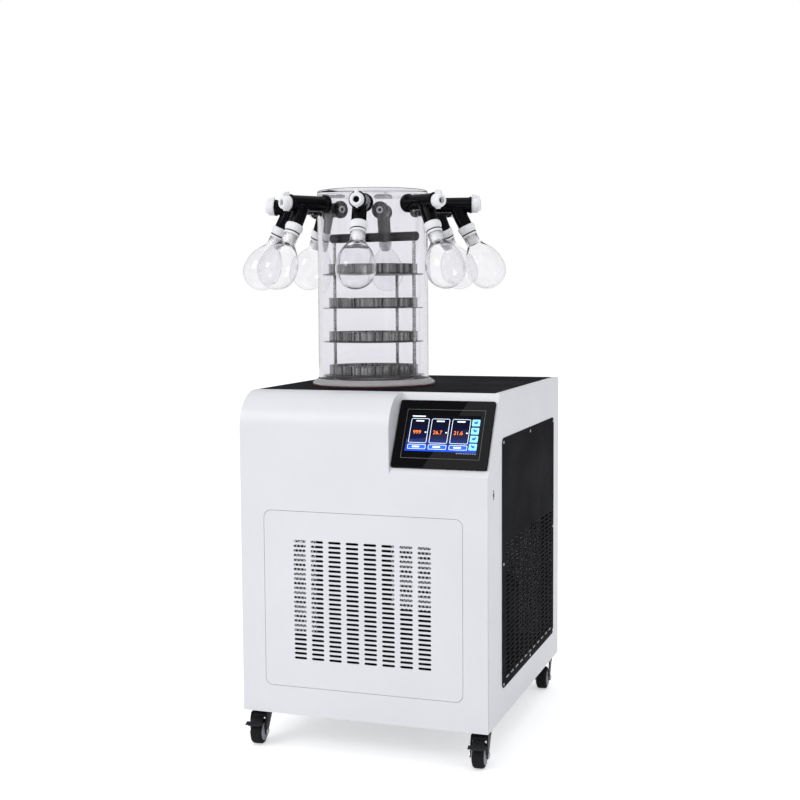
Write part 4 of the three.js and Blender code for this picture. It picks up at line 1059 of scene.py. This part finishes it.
def bulbSkin(neck, wall, steps):
    # neck, a smooth flare (cubic Hermite curve), a half drawn out towards the neck, and a half sphere:
    # r = R cos a, s = centre + H sin a above the widest ring and centre + R sin a below it
    v = valve
    reach, shoulder = v["bulb"] - wall, v["shoulder"] - wall
    start = -math.radians(48)
    a = np.linspace(start, math.pi / 2, steps)
    egg = np.stack([reach * np.cos(a), v["bulbAt"] + np.where(a < 0, shoulder, reach) * np.sin(a)], 1)
    egg[-1, 0] = 0
    rise = egg[0] - (neck, v["neckFoot"])
    steep = -reach * math.sin(start) / (shoulder * math.cos(start)) * rise[1]
    t = np.linspace(0, 1, 10)[:-1]
    flare = neck + rise[0] * (3 * t**2 - 2 * t**3) + steep * (t**3 - t**2)
    return np.concatenate([[(neck, v["mouth"])], np.stack([flare, v["neckFoot"] + rise[1] * t], 1), egg])


def buildValves():
    v = valve
    tube = turned(
        rounded(
            [
                (0, v["start"]), (v["collar"], v["start"], 1.5), (v["collar"], v["start"] + 8, 1.5), (
                    v["radius"], v["start"] + 10.5, 2
                ),
                (
                    v["radius"], v["reach"] - 5.2, 0.8
                ), (v["lip"], v["reach"] - 4.4, 0.8), (v["lip"], v["reach"], 0.8), (0, v["reach"]),
            ], 4, False,
        ), outwards, 72,
    )
    branch = branchSurface()
    adapter = turned(
        rounded(
            [
                (0, 47.1), (
                    16.4, 47.1, 2.2
                ), (17.8, 51, 3), (17.8, 56, 4), (15.4, 63.4, 1.2), (14.4, 63.6, 0.2), (14.4, 65.6, 0.2),
                (
                    15.9, 65.8, 0.8
                ), (15.6, 70.1, 0.8), (10.5, 70.1, 0.3), (10.5, 89, 0.8), (5.5, 89, 0.5), (5.5, 70), (0, 70),
            ], 4, False,
        ), downBranch, 64,
    )
    band = turned(
        rounded([(14.2, 63.6, 0.5), (16.1, 63.6, 0.9), (16.1, 65.6, 0.9), (14.2, 65.6, 0.5)], 3),
        downBranch, 64
    )
    bore = turned([(0, 74), (5.6, 74), (5.45, 88.6), (0, 86)], downBranch, 32)
    knob = turned(
        rounded(
            [
                (0, 183), (9, 183, 0.8), (9, 205.3), (13.6, 205.3, 1), (14.1, 210, 4), (13.5, 218, 3.5), (
                    11.0, 223.8, 2.2
                ),
                (6.4, 223.8, 0.8), (6.4, 212.8, 0.8), (0, 212.8),
            ], 5, False,
        ), outwards, 64,
    )
    # black disc at the bottom of the knob's hole: painted shade in the hole
    shadedHoleFloor = turned(
        [(0, 213.9), (2.6, 213.9), (2.8, 213.1), (6.4, 213.0), (6.4, 212.2), (0, 212.2)], outwards, 32
    )
    tab = plate(
        rounded([(205.4, 8, 1.2), (221.5, 8, 1.2), (220.6, 18.6, 1.8), (206.0, 22.5, 1.8)], 4), [], -3.5,
        3.5, upright, 1.0, 1.0
    )
    pointer = plate(
        rounded([(-3.4, -11.5), (0, -17.0, 0.9), (3.4, -11.5)], 3), [], 205.6, 218.5, outwards, 0.4, 0.4
    )
    outer = bulbSkin(14.6, 0, 28)
    inner = bulbSkin(10.9, v["glass"], 28)
    lip = [(10.9, v["mouth"] + 0.8), (11.8, v["mouth"]), (13.8, v["mouth"]), (14.6, v["mouth"] + 0.8)]
    skin = np.concatenate([inner[:0:-1], lip, outer[1:]])
    flaskPoints, flaskFaces = turned(skin, segments=64)
    inNeck = skin[:, 1] < v["neckFoot"] + 2
    frostedRows = np.repeat((inNeck[:-1] & inNeck[1:]).astype(int), 64)
    flaskPoints = moved(flaskPoints, downBranch)
    for port in range(1, ports + 1):
        place = valveFrame(port)
        makePiece(
            f"valve_{port}", [carried(tube, place), carried(branch, place)], blackRubber,
            [f"valve_body_{port}"]
        )
        makePiece(
            f"adapter_{port}", [carried(adapter, place), carried(band, place, 1), carried(bore, place, 1)],
            [milkyPlastic, blackRubber]
        )
        makePiece(
            f"knob_{port}",
            [*(carried(part, place) for part in (knob, tab, pointer)), carried(shadedHoleFloor, place, 1)],
            [whitePlastic, blackRubber], [f"valve_knob_{port}"], f"knob_{port}"
        )
        makePiece(
            f"flask_{port}_glass", [carried((flaskPoints, flaskFaces, frostedRows), place)],
            [glass, frostedGlass], [f"flask_{port}"], smooth=60
        )


frostedGlass = clearMaterial(
    "frostedGlass", "clear_glass", colour(0.97, 0.97, 0.975), 1.4, 0.3, 0.45, 0.2, colour(0.9, 0.9, 0.9)
)
buildValves()


def buildSpigots():
    # light ring of each spigot's inner end, with its dark bore
    ring = turned(rounded([(4, 107.8, 0.4), (7.2, 107.8, 0.6), (7.2, 114.4), (4, 114.4)], 3), outwards, 48)
    bore = turned([(0, 112), (4.05, 112), (4.05, 114), (0, 114)], outwards, 32)
    rings, bores = [], []
    for port in range(1, ports + 1):
        place = valveFrame(port)
        rings.append(carried(ring, place))
        bores.append(carried(bore, place, 1))
    makePiece("spigots", rings + bores, [spigotPlastic, blackRubber])


spigotPlastic = grainyMaterial(
    "spigotPlastic", "clear_acrylic", colour(0.55, 0.55, 0.58), colour(0.48, 0.48, 0.5), 0.3, 0.4
)
buildSpigots()
print("valves and flasks made")


# rack, handle, trays and flow guide
rack = {
    "turn": -12.0, "shelf": 104.0, "shelfThick": 1.5, "rod": 3.5, "rodCircle": 97.0, "handle": 9.3,
    "handleLength": 211.0
}


def buildRack():
    r = rack
    place = turnedFrame(axisX, axisY, 0, r["turn"])
    foot = top + 8.3
    handleZ = sum(b[2] for b in boxOf("rack_handle")) / 2

    def rod(x, y, low, high):
        return turned(
            rounded([(0, low), (r["rod"], low, 0.6), (r["rod"], high, 0.6), (0, high)], 3, False),
            place @ turnedFrame(x, y, 0, 0), 32
        )

    shelves = []
    for tray in range(1, 5):
        floorZ = boxOf(f"tray_{tray}")[0][2]
        shelfTop = floorZ - 0.3
        shelves.append(
            turned(
                rounded(
                    [
                        (0, shelfTop - r["shelfThick"]), (r["shelf"], shelfTop - r["shelfThick"], 0.6),
                        (r["shelf"], shelfTop, 0.6), (0, shelfTop)
                    ],
                    3, False
                ),
                place, 128
            )
        )
        edge = [
            (0, floorZ), (92, floorZ, 2.2), (
                92, floorZ + 17.8, 0.8
            ), (93, floorZ + 18.6, 0.7), (92.6, floorZ + 20, 0.7), (91, floorZ + 20, 0.7),
            (90.8, floorZ + 17.5, 1), (90.8, floorZ + 1.2, 1.8), (0, floorZ + 1.2),
        ]
        makePiece(
            f"tray_{tray}_pan", [turned(rounded(edge, 4, False), place, 128)], traySteel, [f"tray_{tray}"]
        )
    rods = [
        rod(-r["rodCircle"], 0, foot, handleZ), rod(r["rodCircle"], 0, foot, handleZ),
        rod(0, r["rodCircle"], foot, shelfTop + 2.5)
    ]
    makePiece(
        "rack_frame", shelves + [(*part, 1) for part in rods], [rackSteel, plainSteel], ["drying_rack"]
    )
    along = place @ frameOf((0, 0, handleZ), (0, 1, 0), (0, 0, 1))
    half = r["handleLength"] / 2
    makePiece(
        "lifting_handle",
        [
            turned(
                rounded([(0, -half), (r["handle"], -half, 4), (r["handle"], half, 4), (0, half)], 6, False),
                along, 48
            )
        ],
        handlePlastic, ["rack_handle"]
    )
    ringZ = top
    guide = [
        (62, ringZ - 90, 0.4), (
            63.5, ringZ - 90, 0.4
        ), (63.5, ringZ + 6.5, 2), (100.5, ringZ + 6.5, 1), (100.5, ringZ + 0.3), (102, ringZ + 0.3),
        (102, ringZ + 8, 2.5), (62, ringZ + 8, 4),
    ]
    makePiece("guide_ring", [turned(rounded(guide, 5), axisFoot, 96)], guideSteel, ["flow_guide"])


rackSteel = brushedMaterial(
    "rackSteel", "stainless", (20.0, 20.0, 200.0), colour(0.14, 0.136, 0.132), colour(0.055, 0.053, 0.05),
    0.3, 0.45
)
guideSteel = brushedMaterial(
    "guideSteel", "stainless", (200.0, 200.0, 20.0), colour(0.55, 0.53, 0.52), colour(0.35, 0.33, 0.32),
    0.25, 0.4
)
handlePlastic = grainyMaterial(
    "handlePlastic", "dark_plastic", colour(0.004, 0.004, 0.005), colour(0.002, 0.002, 0.003), 0.35, 0.5,
    **{"Specular IOR Level": 0.03}
)
buildRack()
print("rack made")


# casters: in a caster's frame x runs along the axle and -y is the way it trails
caster = {
    "trail": 20.0, "wheel": 24.5, "tread": 22.0, "width": 26.0, "cheek": 14.2, "cheekThick": 2.5,
    "raceTop": 66.7, "crown": 59.2
}


def casterFrame(name):
    pivot = jointNamed(f"caster_swivel_{name}")[0]
    along = jointNamed(f"wheel_spin_{name}")[1]
    return frameOf((pivot[0], pivot[1], 0), along, np.cross((0, 0, 1), along))


def buildCasters():
    c = caster
    axleZ, axleY = c["wheel"], -c["trail"]
    outer = c["cheek"] + c["cheekThick"]
    crownTop = c["crown"] + 2.5
    cheekLine = rounded(
        [
            (axleY - 7, axleZ - 7, 7), (
                axleY + 3.2, axleZ - 7, 6
            ), (14.2, c["crown"] - 2.2, 3), (14.2, crownTop, 1.2),
            (axleY - 1, crownTop, 2), (axleY - 7, c["crown"] - 10, 8),
        ], 5,
    )
    axle = frameOf((0, axleY, axleZ), (0, 1, 0), (0, 0, 1))
    tyre = turned(
        rounded(
            [
                (16.9, -10.9), (22.2, -11, 1.4), (24.5, -7.5, 3), (24.5, 7.5, 3), (22.2, 11, 1.4),
                (16.9, 10.9)
            ],
            5
        ),
        axle, 64
    )
    rim = turned(
        rounded(
            [
                (3.9, -13, 0.4), (7, -13, 0.7), (8, -11.6, 0.7), (
                    14.6, -11.6, 0.7
                ), (15.6, -13, 0.7), (17.6, -13, 0.7), (17.6, 13, 0.7),
                (15.6, 13, 0.7), (14.6, 11.6, 0.7), (8, 11.6, 0.7), (7, 13, 0.7), (3.9, 13, 0.4),
            ], 3,
        ), axle, 64,
    )
    pin = turned(
        rounded([(0, -outer - 3), (3.5, -outer - 3, 0.9), (3.5, outer + 3, 0.9), (0, outer + 3)], 3, False),
        axle, 32
    )
    nuts = [
        plate(circleLoop(5.9, count=6), [], outer, outer + 2.5, axle, 0.5, 0, 2),
        plate(circleLoop(5.9, count=6), [], -outer - 2.5, -outer, axle, 0.01, 0.5, 2)
    ]
    race = turned(
        rounded(
            [(0, c["crown"]), (19, c["crown"], 0.5), (19, c["raceTop"], 1.2), (0, c["raceTop"])], 4, False
        ),
        segments=64
    )
    crown = boxParts(
        2 * outer, 35.2, 2.5, frameOf((0, 0, 0), (1, 0, 0), (0, 1, 0)), 1.2, 0, -3.4, c["crown"]
    )
    cheeks = [
        plate(cheekLine, [], x, x + c["cheekThick"], frameOf((0, 0, 0), (0, 1, 0), (0, 0, 1)), 0.8, 0.8)
        for x in (c["cheek"], -outer)
    ]
    for name in ("front_left", "front_right", "rear_left", "rear_right"):
        place = casterFrame(name)
        fork = [
            carried(p, place, 0) for p in (race, crown, *cheeks)
        ] + [carried(p, place, 1) for p in (pin, *nuts)]
        makePiece(f"fork_{name}", fork, [forkEnamel, boltSteel], [f"caster_fork_{name}"], f"fork_{name}")
        makePiece(
            f"wheel_{name}", [carried(tyre, place, 0), carried(rim, place, 1)], [tyreRubber, rimPlastic],
            [f"caster_wheel_{name}"], f"wheel_{name}"
        )
        if not name.startswith("front"):
            continue
        hinge = place @ frameOf((0, -18, 55.2), (1, 0, 0), (0, 1, 0))
        sloping = hinge @ frameOf(
            (0, 0, 0), (1, 0, 0), (0, math.cos(math.radians(17)), math.sin(math.radians(17)))
        )
        blade = boxParts(23, 37, 2.6, sloping, 1.1, 0, -18.5, -1.3)
        tread = boxParts(34, 11, 2.6, sloping, 1.1, 0, -31.5, 0.3)
        ridges = [boxParts(31, 1.8, 1.4, sloping, 0.6, 0, y, 2.1) for y in (-28.2, -31.5, -34.8)]
        barrel = turned(
            rounded([(1.9, -13.9, 0.4), (3.5, -13.9, 0.6), (3.5, 13.9, 0.6), (1.9, 13.9, 0.4)], 3),
            hinge @ outwards, 32
        )
        makePiece(
            f"pedal_{name}", [blade, tread, *ridges, barrel], darkPlastic, [f"brake_pedal_{name}"],
            f"pedal_{name}"
        )


buildCasters()
print("casters made")


# base tray with the caster plates, and the back
def buildBase():
    low, high = boxOf("base_tray")
    parts = [
        boxParts(
            high[0] - low[0], high[1] - low[1], 3, topFace @ turnedFrame(0, 0, -top, 0), 0.8, centreX,
            (low[1] + high[1]) / 2, bottom
        )
    ]
    for name in ("front_left", "front_right", "rear_left", "rear_right"):
        x, y = jointNamed(f"caster_swivel_{name}")[0][:2]
        at = frameOf((x, y, 0), (1, 0, 0), (0, 1, 0))
        parts.append((*boxParts(42, 42, 3, at, 1.0, 0, 0, 67), 1))
        parts.append(
            (
                *turned(
                    rounded(
                        [(0, 56.9), (8.5, 56.9, 0.6), (8.5, 58.9, 0.6), (5, 58.9), (5, 70), (0, 70)], 3,
                        False
                    ),
                    at, 32
                ),
                1
            )
        )
        parts += [
            (*screwHead(2.6, at @ frameOf((u, v, 67), (1, 0, 0), (0, -1, 0)), 1.2), 1)
            for u in (-15.5, 15.5) for v in (-15.5, 15.5)
        ]
    makePiece("base_plate", parts, [zincPlate, forkEnamel], ["base_tray"])


def buildRear():
    low, high = boxOf("rear_panel")
    face = frameOf((0, high[1], 0), (-1, 0, 0), (0, 0, 1))
    inletLow, inletHigh = boxOf("power_inlet")
    portLow, portHigh = boxOf("vacuum_port")
    inletX, inletZ = (inletLow[0] + inletHigh[0]) / 2, (inletLow[2] + inletHigh[2]) / 2
    portX, portZ = (portLow[0] + portHigh[0]) / 2, (portLow[2] + portHigh[2]) / 2
    slots = holesAt(gridCentres(1, 12, 1, 15, -centreX, (low[2] + high[2]) / 2), slotLoop(180, 5, 6))
    holes = [
        slots, roundedBox(31, 57, 1, -inletX, inletZ)[::-1][None],
        circleLoop(12.6, -portX, portZ, 48)[::-1][None]
    ]
    panel = plate(windowOf("rear_panel", (0, 2), 0, 12, True), holes, -2, 0, face, 0.6)
    evenNormals(makePiece("rear_cover", [panel], whiteEnamel, ["rear_panel"]))
    dustFoam = plate(roundedBox(194, 186, 3, -centreX, (low[2] + high[2]) / 2), [], -9, -5, face, 0.5)
    makePiece("rear_filter", [dustFoam], foamSkin)
    halfX, halfZ = (high[0] - low[0]) / 2 - 9, (high[2] - low[2]) / 2 - 9
    spots = [
        (u * halfX, v * halfZ) for u in (-1, 0, 1) for v in (-1, -0.33, 0.33, 1)
        if abs(u) == 1 or abs(v) == 1
    ]
    makePiece(
        "rear_screws",
        [
            screwHead(3.4, face @ turnedFrame(-centreX + u, (low[2] + high[2]) / 2 + v, 0, 31 * i), 1.3)
            for i, (u, v) in enumerate(spots)
        ],
        boltSteel
    )
    stub = rounded(
        [
            (10.5, -40, 0.3), (12, -40, 0.3), (12, 0.3), (22, 0.3, 0.5), (22, 4, 0.8), (12, 4, 1),
            (12, 28, 2), (20, 31, 0.8), (20, 34, 0.6), (10.5, 34, 0.6)
        ], 4
    )
    makePiece(
        "vacuum_port_stub", [turned(stub, frameOf((portX, high[1], portZ), (-1, 0, 0), (0, 0, 1)), 64)],
        plainSteel, ["vacuum_port"]
    )


buildBase()
buildRear()
print("base and back made")


# what the display shows: three readings in cards, buttons under them and four down the side
display = {
    "cards": (-48.2, -7.8, 32.7), "values": ("999", "26.7", "21.6"), "lift": 5.01,
    "width": 139.0, "low": -35.5, "high": 38.5,
}


def buildDisplay():
    p = display
    at = facetFace @ turnedFrame(displayX, displayY, p["lift"], 0)
    parts = []

    def bar(x, y, width, height, radius, index, level):
        parts.append(
            (*plate(roundedBox(width, height, radius, x, y, 3), [], level, level + 0.04, at, 0.01), index)
        )

    def outlined(x, y, width, height, radius, index, level, line=0.9):
        hole = roundedBox(width - 2 * line, height - 2 * line, max(radius - line, 0.3), x, y, 3)[::-1][None]
        parts.append(
            (
                *plate(roundedBox(width, height, radius, x, y, 3), [hole], level, level + 0.04, at, 0.01),
                index
            )
        )

    bar(-0.8, (p["low"] + p["high"]) / 2, p["width"], p["high"] - p["low"], 0.3, 0, 0)
    bar(-52, 35.6, 26, 2.2, 0.5, 1, 0.1)
    for x in p["cards"]:
        outlined(x, 6.1, 35.6, 50.2, 3, 1, 0.1)
        bar(x - 0.4, 26, 15.6, 2.6, 0.5, 1, 0.1)
        bar(x + 13.6, 3.1, 3.6, 2.4, 0.6, 1, 0.1)
        bar(x, -26.7, 35.6, 9.8, 2, 2, 0.1)
        outlined(x, -26.7, 35.6, 9.8, 2, 1, 0.2)
        bar(x - 1.5, -26.7, 15, 3.2, 1.2, 1, 0.2)
    for i, y in enumerate((24.5, 7.9, -8.2, -24.4)):
        bar(61, y, 15.2, 13.4, 1.2, 3, 0.1)
        bar(60.6 + (i % 2), y, 6.4 - i % 2, 4.4, 1, 2, 0.2)
        bar(63.5 - 5 * (i % 2), y + 2, 2.4, 3.4, 0.8, 2, 0.2)
    for i in range(9):
        bar(32 + 4.4 * i, -38.2, 3.2, 1.5, 0.3, 4, 0.1)
    makePiece("display_screen", parts, [screenBack, screenWhite, screenBlue, screenCyan, screenDim])
    for x, text in zip(p["cards"], p["values"]):
        makeReading(
            f"reading_{text.replace('.', '_')}", text, at @ turnedFrame(x - 3.4, 2.6, 0.15, 0), 10.6
        )


def makeReading(name, text, place, size):
    curve = bpy.data.curves.new(name, "FONT")
    curve.body, curve.size, curve.align_x, curve.align_y, curve.extrude = text, size, "CENTER", "CENTER", 0.03
    maker = bpy.data.objects.new(name + "_curve", curve)
    mesh = bpy.data.meshes.new_from_object(maker)
    bpy.data.objects.remove(maker)
    mesh.vertices.foreach_set("co", (moved(readRows(mesh.vertices, "co"), place) * mm).ravel())
    mesh.materials.clear()
    mesh.materials.append(screenOrange)
    return finishPiece(bpy.data.objects.new(name, mesh))


def screenMaterial():
    # black at the top of the screen, deep blue towards its lower edge
    material, tree, shader = startMaterial(
        "screenBack", "black_glass",
        **{"Roughness": 0.01, "Emission Strength": 0.9, "Specular IOR Level": 0.12}
    )
    where = addNode(tree, "ShaderNodeTexCoord").outputs["Object"]
    up = facetFace[:3, 1]
    low = moved(np.array([(displayX, displayY + display["low"], 0)]), facetFace)[0] @ up * mm
    height = addNode(
        tree, "ShaderNodeVectorMath", {0: where, 1: tuple(up)}, operation="DOT_PRODUCT"
    ).outputs["Value"]
    share = addNode(
        tree, "ShaderNodeMapRange",
        {"Value": height, "From Min": low, "From Max": low + (display["high"] - display["low"]) * mm}
    )
    ramp = addNode(tree, "ShaderNodeValToRGB", {"Fac": share.outputs["Result"]})
    stops = (
        (0, (0.012, 0.07, 0.62)), (0.08, (0.006, 0.03, 0.34)), (0.2, (0.008, 0.022, 0.16)), (
            0.38, (0.003, 0.005, 0.03)
        ),
        (1, (0.001, 0.001, 0.002)),
    )
    for at, tone in stops[1:-1]:
        ramp.color_ramp.elements.new(at)
    for element, (at, tone) in zip(ramp.color_ramp.elements, stops):
        element.position, element.color = at, colour(*tone)
    tree.links.new(ramp.outputs["Color"], shader.inputs["Emission Color"])
    tree.links.new(ramp.outputs["Color"], shader.inputs["Base Color"])
    return material


screenBack = screenMaterial()
screenWhite = lightMaterial("screenWhite", colour(0.75, 0.85, 0.95), 0.9)
screenBlue = lightMaterial("screenBlue", colour(0.02, 0.12, 0.65), 0.8)
screenCyan = lightMaterial("screenCyan", colour(0.25, 0.65, 0.9), 0.8)
screenDim = lightMaterial("screenDim", colour(0.3, 0.35, 0.4), 0.4)
screenOrange = lightMaterial("screenOrange", colour(1.0, 0.22, 0.03), 1.2)
buildDisplay()
print("readings made")


# camera, floor and light
view = {"lens": 59.4, "heading": 18.98, "tip": 4.64, "roll": -0.37, "place": (874.2, -2608.1, 887.2)}
lights = (  # name, place and target in metres, width, height, watts
    ("front_left", (-2.2, -3.0, 2.6), (0, 0, 0.6), 1.6, 1.6, 40),
    ("front_right", (2.6, -2.4, 1.8), (0, 0, 0.7), 0.7, 1.8, 2),
    ("overhead", (0.2, 0.2, 3.4), (0, 0, 0.6), 2.4, 2.4, 14),
)


def buildView():
    camera = bpy.data.objects.new("camera", bpy.data.cameras.new("camera"))
    bpy.context.scene.collection.objects.link(camera)
    camera.data.lens, camera.data.sensor_width = view["lens"], 36
    heading, tip, roll = (math.radians(view[key]) for key in ("heading", "tip", "roll"))
    ahead = Vector((-math.sin(heading) * math.cos(tip), math.cos(heading) * math.cos(tip), -math.sin(tip)))
    across = Vector((math.cos(heading), math.sin(heading), 0))
    up = across.cross(ahead)
    x = across * math.cos(roll) + up * math.sin(roll)
    y = up * math.cos(roll) - across * math.sin(roll)
    place = Matrix((x, y, -ahead)).transposed().to_4x4()
    place.translation = (Vector((centreX, (front + rear) / 2, 0)) + Vector(view["place"])) * mm
    camera.matrix_world = place
    camera.data.clip_end = 60
    bpy.context.scene.camera = camera


def buildFloor():
    size = 12.0
    points = [(-size, -size, 0), (size, -size, 0), (size, size, 0), (-size, size, 0)]
    mesh = bpy.data.meshes.new("floor")
    mesh.from_pydata(points, [], [(0, 1, 2, 3)])
    pale = {"Emission Color": colour(1, 1, 1), "Emission Strength": 0.45, "Specular IOR Level": 0.1}
    mesh.materials.append(
        grainyMaterial(
            "paleFloor", "none", colour(0.93, 0.93, 0.935), colour(0.9, 0.9, 0.905), 0.8, 0.9, **pale
        )
    )
    floorMaterial = mesh.materials[0].node_tree
    path = addNode(floorMaterial, "ShaderNodeLightPath")
    glow = addNode(
        floorMaterial, "ShaderNodeMath", {0: path.outputs["Is Camera Ray"], 1: 0.35, 2: 0.1},
        operation="MULTIPLY_ADD"
    )
    floorMaterial.links.new(
        glow.outputs["Value"], floorMaterial.nodes["Principled BSDF"].inputs["Emission Strength"]
    )
    floor = bpy.data.objects.new("floor", mesh)
    bpy.context.scene.collection.objects.link(floor)


def addLight(name, where, target, width, height, power):
    lamp = bpy.data.lights.new(name, "AREA")
    lamp.shape, lamp.size, lamp.size_y, lamp.energy = "RECTANGLE", width, height, power
    light = bpy.data.objects.new(name, lamp)
    light.location = where
    light.rotation_euler = (Vector(target) - Vector(where)).to_track_quat("-Z", "Y").to_euler()
    bpy.context.scene.collection.objects.link(light)
    return light


def addCard():
    # a card that shows only in gloss: its straight edge crosses the touch panel's glass
    eye = np.array(bpy.context.scene.camera.location) / mm
    out = facetFace[:3, 2]
    ends = moved(
        np.array([(displayX + 38.3, displayY + 67.4, 5.3), (displayX - 29.7, displayY - 71.1, 5.3)]),
        facetFace
    )
    behind = eye - 2 * ((eye - ends[0]) @ out) * out
    head, foot = behind + 1.8 * (ends - behind)
    along = (head - foot) / np.linalg.norm(head - foot)
    away = np.cross(along, (head + foot) / 2 - behind)
    away /= np.linalg.norm(away)
    card = addLight("card", (0, 0, 0), (0, 0, 1), 0.9, 1.4, 6.5)
    card.matrix_world = Matrix(frameOf(((head + foot) / 2 + 450 * away) * mm, away, along).tolist())
    card.visible_diffuse = card.visible_transmission = False


def buildWorld():
    world = bpy.data.worlds.new("studio")
    bpy.context.scene.world = world
    world.use_nodes = True
    tree = world.node_tree
    tree.nodes.clear()
    path = addNode(tree, "ShaderNodeLightPath")
    seen = addNode(
        tree, "ShaderNodeMath", {0: path.outputs["Is Camera Ray"], 1: path.outputs["Is Transmission Ray"]},
        operation="MAXIMUM"
    )
    diffuse = addNode(tree, "ShaderNodeBackground", {"Color": colour(0.96, 0.97, 1.0), "Strength": 0.8})
    glossy = addNode(tree, "ShaderNodeBackground", {"Color": colour(0.96, 0.97, 1.0), "Strength": 0.45})
    white = addNode(tree, "ShaderNodeBackground", {"Color": colour(1, 1, 1), "Strength": 1.0})
    first = addNode(tree, "ShaderNodeMixShader", {0: path.outputs["Is Glossy Ray"]})
    tree.links.new(diffuse.outputs[0], first.inputs[1])
    tree.links.new(glossy.outputs[0], first.inputs[2])
    last = addNode(tree, "ShaderNodeMixShader", {0: seen.outputs[0]})
    tree.links.new(first.outputs[0], last.inputs[1])
    tree.links.new(white.outputs[0], last.inputs[2])
    out = addNode(tree, "ShaderNodeOutputWorld")
    tree.links.new(last.outputs[0], out.inputs["Surface"])


buildView()
buildFloor()
buildWorld()
for light in lights:
    addLight(*light)
addCard()
bpy.context.scene.view_settings.view_transform = "Standard"
print("view and light made")


# the machinery inside and the small fittings keep their solids
plainNodes = {
    # the condenser takes near-black painted shade in place of its zinc
    "cold_trap": plainSteel, "trap_jacket": foamSkin, "compressor": forkEnamel, "condenser": shadeDarkFins,
    "condenser_fan": darkPlastic,
    "power_inlet": darkPlastic, "power_switch": blackGlass, "usb_port": darkPlastic,
}
for node, material in plainNodes.items():
    mesh = frame["nodes"][node].data
    mesh.materials.clear()
    mesh.materials.append(material)
